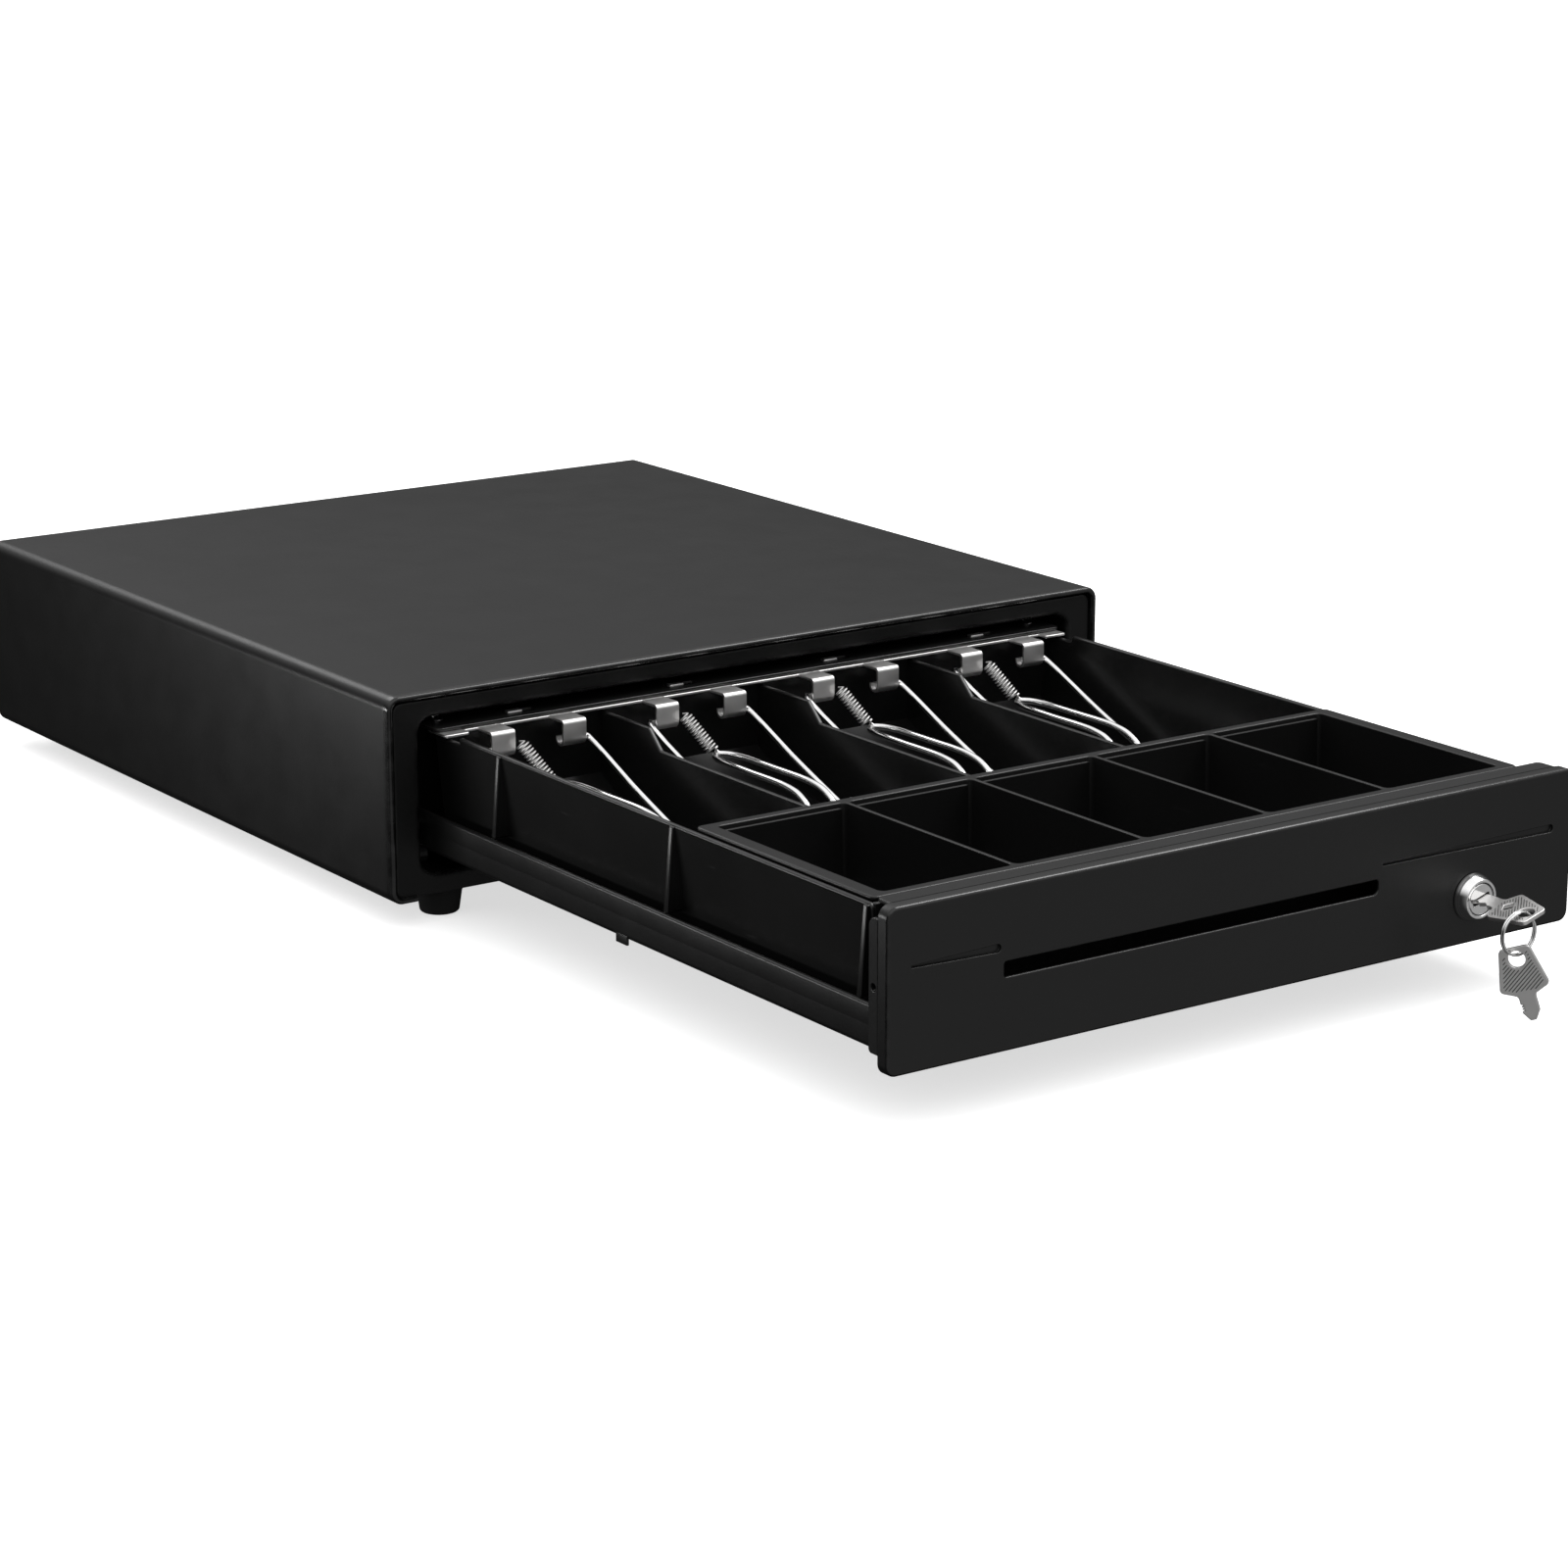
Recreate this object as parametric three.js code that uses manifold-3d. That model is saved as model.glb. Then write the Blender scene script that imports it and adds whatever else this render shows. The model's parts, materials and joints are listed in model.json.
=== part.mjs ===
// Cash drawer, 330 mm wide: a steel cabinet, a sliding steel drawer with a plastic till,
// sprung bill clips, a lift-out coin tray, a key lock and a solenoid latch.
// Millimetres, +Z up, +Y to the back. The drawer stands open, as far as it travels.
// Everything is modelled with the cabinet's front edge at y = 0 and the table at z = 0, and the
// whole group is then moved so that the origin is the middle of the footprint.

import * as THREE from 'three';
import { mergeVertices } from 'three/addons/utils/BufferGeometryUtils.js';
import Module from 'manifold-3d';

const wasm = await Module();
wasm.setup();

// ---------------------------------------------------------------- driving dimensions

const CLEARANCE = 0.3;
const CUT = 1;

const CABINET_HALF_WIDTH = 165;
const CABINET_DEPTH = 338;
const FOOT_HEIGHT = 9.5;
const CABINET_TOP = 88;
const CABINET_SHEET = 1.2;
const CABINET_CORNER = 5;
const LIP_DEPTH = 6;
const LIP_THICKNESS = 2.4;
const SHELL_FLANGE = 11;

const BEZEL_SETBACK = 1.5;
const BEZEL_THICKNESS = 1.5;
const BEZEL_RETURN = 15;
const OPENING_HALF_WIDTH = 151;
const OPENING_BOTTOM = 19;
const OPENING_TOP = 78;
const OPENING_CORNER = 6;

const FOOT_X = 137;
const FOOT_INSET = 14;
const FOOT_RADIUS = 9;

const DRAWER_OPEN = 284;
const PANEL_HALF_WIDTH = 149.5;
const PANEL_BOTTOM = 20.5;
const PANEL_TOP = 76.5;
const PANEL_SHEET = 1.5;
const PANEL_FLANGE = 13;
const PANEL_CORNER = 4;

const SLOT_LEFT = -103;
const SLOT_RIGHT = 58;
const SLOT_Z = 48.3;
const SLOT_HEIGHT = 5.2;
const GROOVE_Z = 55.9;
const GROOVE_DEPTH = 0.7;
const GROOVE_END = 1.4;
const GROOVE_START = 0.4;
const GROOVE_OUTER = 140;

const PAN_HALF_WIDTH = 147.5;
const PAN_SHEET = 1;
const PAN_FLOOR = 27;
const PAN_SIDE_TOP = 42;
const PAN_REAR = 26;
const PAN_FRONT = -282;

const DECK_TOP = 74;
const DECK_SHEET = 1.2;
const DECK_FRONT = -1;

const TILL_HALF_WIDTH = 143.5;
const TILL_DRAFT = 4.5;
const TILL_WALL = 2.2;
const TILL_TOP = 73;
const TILL_REAR_TOP = 70.8;
const TILL_BOTTOM = 28.5;
const TILL_FLOOR = 2;
const TILL_FRONT = -267.2;
const TILL_REAR = 4;
const TILL_CROSS_WALL = -164.2;
const FIT_GAP = 0.3;
const DIVIDER_LOW = 63;
const DIVIDER_STEP_Y = -31;
const RIB_YS = [-42, -154, -265];
const RIB_THICKNESS = 2.2;

const BILL_BAYS = 4;
const BILL_PITCH = 72;

const COIN_BAYS = 5;
const COIN_HALF_WIDTH = 141;
const COIN_BODY_HALF_WIDTH = 136.4;
const COIN_FRONT = -264.8;
const COIN_REAR = -163.6;
const COIN_RIM = 3;
const COIN_TOP = 74.2;
const COIN_BOTTOM = 44;
const COIN_WALL = 1.6;

const BAR_TOP = 72.5;
const BAR_SHEET = 1.1;
const TAB_FRONT = -12;
const TAB_WIDTH = 7.4;
const TAB_OFFSET = 16.3;
const EYE_Y = -8.9;
const EYE_Z = 65.2;
const EYE_RADIUS = 1.75;

const WIRE_RADIUS = 1.2;

const ROLLER_RADIUS = 6;
const ROLLER_WIDTH = 6.4;
const ROLLER_BORE = 2.3;
const AXLE_RADIUS = 2;
const DRAWER_ROLLER_Y = 22;
const DRAWER_ROLLER_Z = 34.5;
const CABINET_ROLLER_Y = 24;
const CABINET_ROLLER_X = 139.2;
const RAIL_SHEET = 1.2;
const RAIL_INNER_X = 150.8;

const LOCK_X = 102;
const LOCK_Z = 37.5;
const LOCK_HEAD_RADIUS = 8.6;
const LOCK_HEAD_HEIGHT = 5;
const LOCK_BARREL_RADIUS = 7.4;
const LOCK_BARREL_REAR = 10.5;
const LOCK_NUT_RADIUS = 9.2;
const PLUG_RADIUS = 5.6;
const KEY_ROLL = 17;
const KEY_THICKNESS = 1.6;
const KEY_RING_HOLE = 3;
const RING_RADIUS = 7.6;
const RING_WIRE = 0.9;
const SPARE_KEY_TILT = 18;
const SPARE_KEY_TURN = 52;
const SPARE_KEY_REACH = 22.2;

const LATCH_PIVOT_Y = 327.5;
const LATCH_PIVOT_Z = 55;
const LATCH_LIFT = 20;

const REAR_PANEL_Y = 334.5;
const RELEASE_SOCKET_X = 100;

// ---------------------------------------------------------------- materials

function finish(color, roughness, metalness) {
  return new THREE.MeshStandardMaterial({ color, roughness, metalness, flatShading: true });
}

const blackPaint = () => finish(0x1c1c1d, 0.35, 0.1);
const texturedPaint = () => finish(0x161617, 0.7, 0.1);
const blackPlastic = () => finish(0x141415, 0.45, 0);
const blackRubber = () => finish(0x0c0c0c, 0.8, 0);
const chrome = () => finish(0xd9dadc, 0.12, 1);
const nickel = () => finish(0xc4c2bd, 0.3, 1);
const zinc = () => finish(0xa9abad, 0.45, 1);

// ---------------------------------------------------------------- solids from three.js shapes

const PLANES = {
  xy: new THREE.Matrix4(),
  xz: new THREE.Matrix4().makeBasis(
    new THREE.Vector3(1, 0, 0), new THREE.Vector3(0, 0, 1), new THREE.Vector3(0, -1, 0)),
  yz: new THREE.Matrix4().makeBasis(
    new THREE.Vector3(0, 1, 0), new THREE.Vector3(0, 0, 1), new THREE.Vector3(1, 0, 0)),
};

function solid(geometry) {
  geometry.deleteAttribute('normal');
  geometry.deleteAttribute('uv');
  const merged = mergeVertices(geometry, 1e-4);
  return new wasm.Manifold(new wasm.Mesh({
    numProp: 3,
    vertProperties: new Float32Array(merged.attributes.position.array),
    triVerts: new Uint32Array(merged.index.array),
  }));
}

function extrude(shape, plane, from, to, curveSegments = 6) {
  const geometry = new THREE.ExtrudeGeometry(shape, {
    depth: to - from, bevelEnabled: false, curveSegments,
  });
  geometry.translate(0, 0, plane === 'xz' ? -to : from);
  geometry.applyMatrix4(PLANES[plane]);
  return solid(geometry);
}

function block(x0, x1, y0, y1, z0, z1) {
  const geometry = new THREE.BoxGeometry(x1 - x0, y1 - y0, z1 - z0);
  geometry.translate((x0 + x1) / 2, (y0 + y1) / 2, (z0 + z1) / 2);
  return solid(geometry);
}

function polygon(points) {
  return new THREE.Shape(points.map(([u, v]) => new THREE.Vector2(u, v)));
}

function roundedRectangle(u0, u1, v0, v1, radius) {
  const shape = new THREE.Shape();
  shape.moveTo(u0 + radius, v0);
  shape.lineTo(u1 - radius, v0);
  shape.absarc(u1 - radius, v0 + radius, radius, -Math.PI / 2, 0, false);
  shape.lineTo(u1, v1 - radius);
  shape.absarc(u1 - radius, v1 - radius, radius, 0, Math.PI / 2, false);
  shape.lineTo(u0 + radius, v1);
  shape.absarc(u0 + radius, v1 - radius, radius, Math.PI / 2, Math.PI, false);
  shape.lineTo(u0, v0 + radius);
  shape.absarc(u0 + radius, v0 + radius, radius, Math.PI, 1.5 * Math.PI, false);
  return shape;
}

function cylinder(axis, from, to, radius, centre, segments = 20) {
  const geometry = new THREE.CylinderGeometry(radius, radius, to - from, segments);
  geometry.translate(0, (from + to) / 2, 0);
  if (axis === 'z') geometry.rotateX(Math.PI / 2);
  if (axis === 'x') geometry.rotateZ(-Math.PI / 2);
  return solid(geometry).translate(centre);
}

// A turned solid: the profile holds [radius, distance along the axis], closed on the axis.
function turned(profile, axis, centre, segments = 28) {
  const geometry = new THREE.LatheGeometry(profile.map(([r, h]) => new THREE.Vector2(r, h)), segments);
  if (axis === 'z') geometry.rotateX(Math.PI / 2);
  if (axis === 'x') geometry.rotateZ(-Math.PI / 2);
  const body = solid(geometry);
  return body.translate(centre);
}

function wire(points, radius, steps, sides) {
  const section = new THREE.Shape();
  section.absarc(0, 0, radius, 0, 2 * Math.PI, false);
  const path = new THREE.CatmullRomCurve3(points.map((p) => new THREE.Vector3(...p)), false, 'centripetal');
  const curveSegments = sides / 2;
  const geometry = new THREE.ExtrudeGeometry(section, { steps, extrudePath: path, curveSegments });
  return solid(geometry);
}

function mirrorX(points) {
  return points.map(([x, y, z]) => [-x, y, z]).reverse();
}

const assembly = new THREE.Group();

function addPart(name, body, material, parent = assembly) {
  const mesh = body.getMesh();
  const geometry = new THREE.BufferGeometry();
  geometry.setAttribute('position', new THREE.BufferAttribute(new Float32Array(mesh.vertProperties), 3));
  geometry.setIndex(new THREE.BufferAttribute(new Uint32Array(mesh.triVerts), 1));
  geometry.computeVertexNormals();
  const part = new THREE.Mesh(geometry, material);
  part.name = name;
  parent.add(part);
}

// ---------------------------------------------------------------- cabinet

// A folded U of sheet, open below between two short flanges, y from front to back.
function foldedSection(thickness, front, back) {
  const half = CABINET_HALF_WIDTH;
  const outer = roundedRectangle(-half, half, FOOT_HEIGHT, CABINET_TOP, CABINET_CORNER);
  const inner = roundedRectangle(-half + thickness, half - thickness,
    FOOT_HEIGHT + CABINET_SHEET, CABINET_TOP - thickness, CABINET_CORNER - thickness);
  const gap = half - SHELL_FLANGE;
  return extrude(outer, 'xz', front, back)
    .subtract(extrude(inner, 'xz', front - CUT, back + CUT))
    .subtract(block(-gap, gap, front - CUT, back + CUT, 0, FOOT_HEIGHT + 2 * CABINET_SHEET));
}

function cabinetShell() {
  return foldedSection(CABINET_SHEET, 0, CABINET_DEPTH).add(foldedSection(LIP_THICKNESS, 0, LIP_DEPTH));
}

function openingOutline(margin) {
  return roundedRectangle(-OPENING_HALF_WIDTH - margin, OPENING_HALF_WIDTH + margin,
    OPENING_BOTTOM - margin, OPENING_TOP + margin, OPENING_CORNER + margin);
}

function frontBezel() {
  const half = CABINET_HALF_WIDTH - LIP_THICKNESS - 2 * CLEARANCE;
  const bottom = FOOT_HEIGHT + CABINET_SHEET + CLEARANCE;
  const top = CABINET_TOP - LIP_THICKNESS - 2 * CLEARANCE;
  const plate = extrude(roundedRectangle(-half, half, bottom, top, 2), 'xz',
    BEZEL_SETBACK, BEZEL_SETBACK + BEZEL_THICKNESS);
  const lining = extrude(openingOutline(CABINET_SHEET), 'xz', BEZEL_SETBACK, BEZEL_RETURN);
  return plate.add(lining).subtract(extrude(openingOutline(0), 'xz', 0, BEZEL_RETURN + CUT));
}

function basePlate() {
  const half = CABINET_HALF_WIDTH - CABINET_CORNER + CABINET_SHEET - CLEARANCE;
  const bottom = FOOT_HEIGHT + CABINET_SHEET + CLEARANCE;
  return block(-half, half, LIP_DEPTH + CLEARANCE, REAR_PANEL_Y - CLEARANCE, bottom, bottom + CABINET_SHEET);
}

function rearPanel() {
  const half = CABINET_HALF_WIDTH - CABINET_SHEET - CLEARANCE;
  const bottom = FOOT_HEIGHT + 2 * CABINET_SHEET;
  const back = REAR_PANEL_Y + CABINET_SHEET;
  return extrude(roundedRectangle(-half, half, bottom, CABINET_TOP - CABINET_SHEET - CLEARANCE, 3), 'xz',
    REAR_PANEL_Y, back)
    .subtract(block(RELEASE_SOCKET_X - 8, RELEASE_SOCKET_X + 8, REAR_PANEL_Y - CUT, back + CUT, 43, 57));
}

// The inlet for the printer's trigger lead: a square block with a stepped mouth.
function releaseSocket() {
  const x = RELEASE_SOCKET_X;
  const back = REAR_PANEL_Y + CABINET_SHEET;
  return block(x - 7.6, x + 7.6, REAR_PANEL_Y - 12, back + 0.6, 43.4, 56.6)
    .subtract(block(x - 5.4, x + 5.4, REAR_PANEL_Y - 9, back + CUT, 46, 53))
    .subtract(block(x - 3, x + 3, REAR_PANEL_Y - 9, back + CUT, 52, 55));
}

function foot(x, y) {
  const top = FOOT_HEIGHT + CABINET_SHEET;
  const profile = [[0, 0], [FOOT_RADIUS - 2.4, 0], [FOOT_RADIUS - 1, 1.2], [FOOT_RADIUS, top], [0, top]];
  return turned(profile, 'z', [x, y, 0], 24);
}

// A channel along the cabinet's side, open inwards, with an ear below for the front roller's axle.
function slideRail(side) {
  const outer = CABINET_HALF_WIDTH - CABINET_SHEET - CLEARANCE;
  const gap = ROLLER_RADIUS + CLEARANCE;
  const low = DRAWER_ROLLER_Z - gap;
  const high = DRAWER_ROLLER_Z + gap;
  const front = BEZEL_RETURN + 3;
  const back = REAR_PANEL_Y - 3;
  const web = block(outer - RAIL_SHEET, outer, front, back, low - RAIL_SHEET, high + RAIL_SHEET);
  const lower = block(RAIL_INNER_X, outer, front, back, low - RAIL_SHEET, low);
  const upper = block(RAIL_INNER_X, outer, front, back, high, high + RAIL_SHEET);
  const ear = block(RAIL_INNER_X, RAIL_INNER_X + RAIL_SHEET, front, front + 12, 14, low);
  const rail = web.add(lower).add(upper).add(ear);
  return side < 0 ? rail.mirror([1, 0, 0]) : rail;
}

function rollerBody(x0, y, z) {
  return cylinder('x', x0, x0 + ROLLER_WIDTH, ROLLER_RADIUS, [0, y, z], 24)
    .subtract(cylinder('x', x0 - CUT, x0 + ROLLER_WIDTH + CUT, ROLLER_BORE, [0, y, z], 16));
}

function axleBody(x0, x1, y, z) {
  return cylinder('x', x0, x1, AXLE_RADIUS, [0, y, z], 16)
    .add(cylinder('x', x0, x0 + 1, AXLE_RADIUS + 1.2, [0, y, z], 16));
}

function addRunningGear() {
  const cabinetRollerZ = PAN_FLOOR - CLEARANCE - ROLLER_RADIUS;
  for (const [side, word] of [[-1, 'left'], [1, 'right']]) {
    const place = (body) => (side < 0 ? body.mirror([1, 0, 0]) : body);
    addPart(`slide_rail_${word}`, slideRail(side), zinc());
    addPart(`cabinet_roller_${word}`,
      place(rollerBody(CABINET_ROLLER_X, CABINET_ROLLER_Y, cabinetRollerZ)), blackPlastic());
    addPart(`cabinet_roller_axle_${word}`,
      place(axleBody(CABINET_ROLLER_X - 1.5, RAIL_INNER_X - CLEARANCE, CABINET_ROLLER_Y, cabinetRollerZ)), zinc());
    addPart(`drawer_roller_${word}`, place(rollerBody(152, DRAWER_ROLLER_Y, DRAWER_ROLLER_Z)), blackPlastic());
    const drawerAxle = axleBody(-160.4, -PAN_HALF_WIDTH - CLEARANCE, DRAWER_ROLLER_Y, DRAWER_ROLLER_Z);
    addPart(`drawer_roller_axle_${word}`, side < 0 ? drawerAxle : drawerAxle.mirror([1, 0, 0]), zinc());
  }
}

// ---------------------------------------------------------------- latch at the back of the cabinet

function latchBracket() {
  const plate = block(-14, 14, REAR_PANEL_Y - 1.8, REAR_PANEL_Y - CLEARANCE, 40, 84);
  const ear = block(3.2, 4.4, LATCH_PIVOT_Y - 4, REAR_PANEL_Y - CLEARANCE, LATCH_PIVOT_Z - 4, LATCH_PIVOT_Z + 4);
  const bore = cylinder('x', -10, 10, 1.9, [0, LATCH_PIVOT_Y, LATCH_PIVOT_Z], 12);
  return plate.add(ear).add(ear.mirror([1, 0, 0])).subtract(bore);
}

function latchPin() {
  return cylinder('x', -6, 6, 1.6, [0, LATCH_PIVOT_Y, LATCH_PIVOT_Z], 12);
}

// The hook is drawn as it holds the strike pin, then lifted clear about its pivot.
function latchLever() {
  const y = LATCH_PIVOT_Y;
  const z = LATCH_PIVOT_Z;
  const outline = polygon([
    [y - 11.5, z - 10.3], [y - 8.6, z - 10.3], [y - 8.6, z - 4.5], [y + 3.5, z - 3.5],
    [y + 3.5, z + 3], [y - 10, z + 3], [y - 11.5, z + 1.5],
  ]);
  const bore = cylinder('x', -5, 5, 1.9, [0, y, z], 12);
  return extrude(outline, 'yz', -1.8, 1.8)
    .subtract(bore)
    .translate([0, -y, -z])
    .rotate([-LATCH_LIFT, 0, 0])
    .translate([0, y, z]);
}

function solenoidBody() {
  return block(-8, 8, 316.5, REAR_PANEL_Y - 2.1, 66, 84)
    .subtract(cylinder('z', 64, 80, 3.4, [0, LATCH_PIVOT_Y - 8, 0], 16));
}

function solenoidPlunger() {
  return cylinder('z', 61.8, 75, 3, [0, LATCH_PIVOT_Y - 8, 0], 16);
}

function ejectSpring() {
  return cylinder('y', REAR_PANEL_Y - 50, REAR_PANEL_Y - CLEARANCE, 6, [-70, 0, 50], 16);
}

function addCabinet() {
  addPart('cabinet_shell', cabinetShell(), blackPaint());
  addPart('front_bezel', frontBezel(), texturedPaint());
  addPart('base_plate', basePlate(), texturedPaint());
  addPart('rear_panel', rearPanel(), texturedPaint());
  addPart('release_socket', releaseSocket(), blackPlastic());
  const rearFootY = CABINET_DEPTH - FOOT_INSET - 4;
  for (const [y, row] of [[FOOT_INSET, 'front'], [rearFootY, 'rear']]) {
    addPart(`foot_${row}_left`, foot(-FOOT_X, y), blackRubber());
    addPart(`foot_${row}_right`, foot(FOOT_X, y), blackRubber());
  }
  addPart('latch_bracket', latchBracket(), zinc());
  addPart('latch_pin', latchPin(), zinc());
  addPart('latch_lever', latchLever(), zinc());
  addPart('solenoid_body', solenoidBody(), blackPlastic());
  addPart('solenoid_plunger', solenoidPlunger(), zinc());
  addPart('eject_spring', ejectSpring(), zinc());
}

// ---------------------------------------------------------------- drawer

function drawerPan() {
  const half = PAN_HALF_WIDTH;
  const inside = half - PAN_SHEET;
  const tub = block(-half, half, PAN_FRONT, PAN_REAR, PAN_FLOOR, PAN_SIDE_TOP)
    .subtract(block(
      -inside, inside, PAN_FRONT - CUT, PAN_REAR - PAN_SHEET, PAN_FLOOR + PAN_SHEET, PAN_SIDE_TOP + CUT));
  const rearWall = block(-half + 2, half - 2, PAN_REAR - PAN_SHEET, PAN_REAR,
    PAN_FLOOR, DECK_TOP - DECK_SHEET - CLEARANCE);
  const frontWall = block(-half + 2, half - 2, PAN_FRONT, PAN_FRONT + PAN_SHEET, PAN_FLOOR, PAN_SIDE_TOP - 2);
  const stop = block(-half, -half + PAN_SHEET, -131, -124, PAN_FLOOR - 2, PAN_FLOOR + 1);
  const lockHole = cylinder('y', PAN_FRONT - CUT, PAN_FRONT + 2, LOCK_NUT_RADIUS + CUT, [LOCK_X, 0, LOCK_Z], 20);
  return tub.add(rearWall).add(frontWall.subtract(lockHole)).add(stop).add(stop.mirror([1, 0, 0]));
}

// A groove pressed into the front: thin where it starts, round and wide where it ends.
function pressedGroove(start, end) {
  const turn = Math.sign(end - start);
  const outline = new THREE.Shape();
  const centre = end - turn * GROOVE_END;
  outline.moveTo(start, GROOVE_Z - GROOVE_START);
  outline.lineTo(centre, GROOVE_Z - GROOVE_END);
  outline.absarc(centre, GROOVE_Z, GROOVE_END, -Math.PI / 2, Math.PI / 2, turn < 0);
  outline.lineTo(start, GROOVE_Z + GROOVE_START);
  return extrude(outline, 'xz', -DRAWER_OPEN - CUT, -DRAWER_OPEN + GROOVE_DEPTH);
}

function drawerFront() {
  const half = PANEL_HALF_WIDTH;
  const face = -DRAWER_OPEN;
  const inner = face + PANEL_SHEET;
  const back = face + PANEL_FLANGE;
  const outline = roundedRectangle(-half, half, PANEL_BOTTOM, PANEL_TOP, PANEL_CORNER);
  const hollow = roundedRectangle(-half + PANEL_SHEET, half - PANEL_SHEET,
    PANEL_BOTTOM + PANEL_SHEET, PANEL_TOP - PANEL_SHEET, PANEL_CORNER - PANEL_SHEET);
  const notchTop = PANEL_TOP - 7;
  const slot = roundedRectangle(SLOT_LEFT, SLOT_RIGHT, SLOT_Z - SLOT_HEIGHT / 2, SLOT_Z + SLOT_HEIGHT / 2,
    SLOT_HEIGHT / 2 - 0.01);
  const lockHole = cylinder('y', face - CUT, inner + CUT, LOCK_BARREL_RADIUS + CLEARANCE, [LOCK_X, 0, LOCK_Z], 24);
  return extrude(outline, 'xz', face, back)
    .subtract(extrude(hollow, 'xz', inner, back + CUT))
    .subtract(block(-half - CUT, -half + 5, face + 5, back + CUT, notchTop, PANEL_TOP + CUT))
    .subtract(block(half - 5, half + CUT, face + 5, back + CUT, notchTop, PANEL_TOP + CUT))
    .subtract(block(-half - CUT, half + CUT, face + 7, back + CUT, 0, PAN_FLOOR - 1))
    .subtract(extrude(slot, 'xz', face - CUT, inner + CUT))
    .subtract(pressedGroove(-GROOVE_OUTER, SLOT_LEFT - 1.5))
    .subtract(pressedGroove(SLOT_RIGHT + 1.5, GROOVE_OUTER))
    .subtract(lockHole);
}

function rearDeck() {
  const half = 145.5;
  const outline = roundedRectangle(-half, half, DECK_FRONT, PAN_REAR + 1, 3);
  let deck = extrude(outline, 'xy', DECK_TOP - DECK_SHEET, DECK_TOP);
  for (const x of billCentres()) {
    deck = deck.subtract(block(x - 4, x + 9, 4.5, 8.5, DECK_TOP - 2, DECK_TOP + CUT));
  }
  for (const x of [-138, 138]) {
    deck = deck.subtract(cylinder('z', DECK_TOP - 3, DECK_TOP + CUT, 1.9, [x, 12, 0], 12));
  }
  return deck;
}

function deckScrew(x) {
  const z = DECK_TOP + CLEARANCE;
  const profile = [[0, z - 5.5], [1.5, z - 5.5], [1.5, z], [2.9, z], [2.6, z + 1], [1.5, z + 1.7], [0, z + 1.9]];
  return turned(profile, 'z', [x, 12, 0], 20);
}

function billCentres() {
  return Array.from({ length: BILL_BAYS }, (_, i) => (i - (BILL_BAYS - 1) / 2) * BILL_PITCH);
}

// The strip's J-shaped tab, seen along X: flat, bent down at the front and curled back up.
function tabOutline() {
  const outline = new THREE.Shape();
  const front = TAB_FRONT;
  const sheet = BAR_SHEET;
  const curl = EYE_RADIUS + sheet;
  outline.moveTo(2, BAR_TOP);
  outline.lineTo(front + 1.6, BAR_TOP);
  outline.absarc(front + 1.6, BAR_TOP - 1.6, 1.6, Math.PI / 2, Math.PI, false);
  outline.lineTo(front, EYE_Z);
  outline.absarc(EYE_Y - 0.25, EYE_Z, curl, Math.PI, 2.1 * Math.PI, false);
  outline.absarc(EYE_Y - 0.25, EYE_Z, EYE_RADIUS, 2.1 * Math.PI, Math.PI, true);
  outline.lineTo(front + sheet, BAR_TOP - 1.6);
  outline.absarc(front + 1.6, BAR_TOP - 1.6, 0.5, Math.PI, Math.PI / 2, true);
  outline.lineTo(2, BAR_TOP - sheet);
  return outline;
}

function clipBar() {
  const low = BAR_TOP - BAR_SHEET;
  let bar = block(-134, 134, DECK_FRONT - 0.8, 10, low, BAR_TOP);
  for (const side of [-1, 1]) {
    bar = bar.add(block(side * 139 - 6, side * 139 + 6, DECK_FRONT - 5, 8, low, BAR_TOP));
  }
  for (const x of billCentres()) {
    for (const side of [-1, 1]) {
      const centre = x + side * TAB_OFFSET;
      bar = bar.add(extrude(tabOutline(), 'yz', centre - TAB_WIDTH / 2, centre + TAB_WIDTH / 2));
    }
    bar = bar.add(block(x - 3.2, x + 3.2, 5, 8, low, DECK_TOP + 0.5));
  }
  return bar;
}

// The till's drafted cross-section, seen along Y, drawn in from its outside by an inset.
function tillSection(inset, low, high) {
  const halfAt = (z) => TILL_HALF_WIDTH - inset - TILL_DRAFT * (TILL_TOP - z) / (TILL_TOP - TILL_BOTTOM);
  return polygon([[-halfAt(low), low], [halfAt(low), low], [halfAt(high), high], [-halfAt(high), high]]);
}

function sideRib() {
  const foot = PAN_HALF_WIDTH - 0.6;
  return polygon([
    [TILL_HALF_WIDTH - TILL_DRAFT + 0.4, PAN_SIDE_TOP + 0.4], [foot, PAN_SIDE_TOP + 0.4],
    [TILL_HALF_WIDTH + 0.6, TILL_TOP - 0.8], [TILL_HALF_WIDTH - 1, TILL_TOP - 0.8],
  ]);
}

// A bill bay, seen along X: flat at the front and rising in a curve under the clip bar.
function billWell() {
  const floor = TILL_BOTTOM + TILL_FLOOR;
  const rear = TILL_REAR - 2;
  const outline = new THREE.Shape();
  outline.moveTo(TILL_CROSS_WALL, TILL_TOP + CUT);
  outline.lineTo(TILL_CROSS_WALL, floor);
  outline.lineTo(-66, floor);
  outline.quadraticCurveTo(-26, floor, rear, floor + 16);
  outline.lineTo(rear, TILL_TOP + CUT);
  return outline;
}

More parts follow.
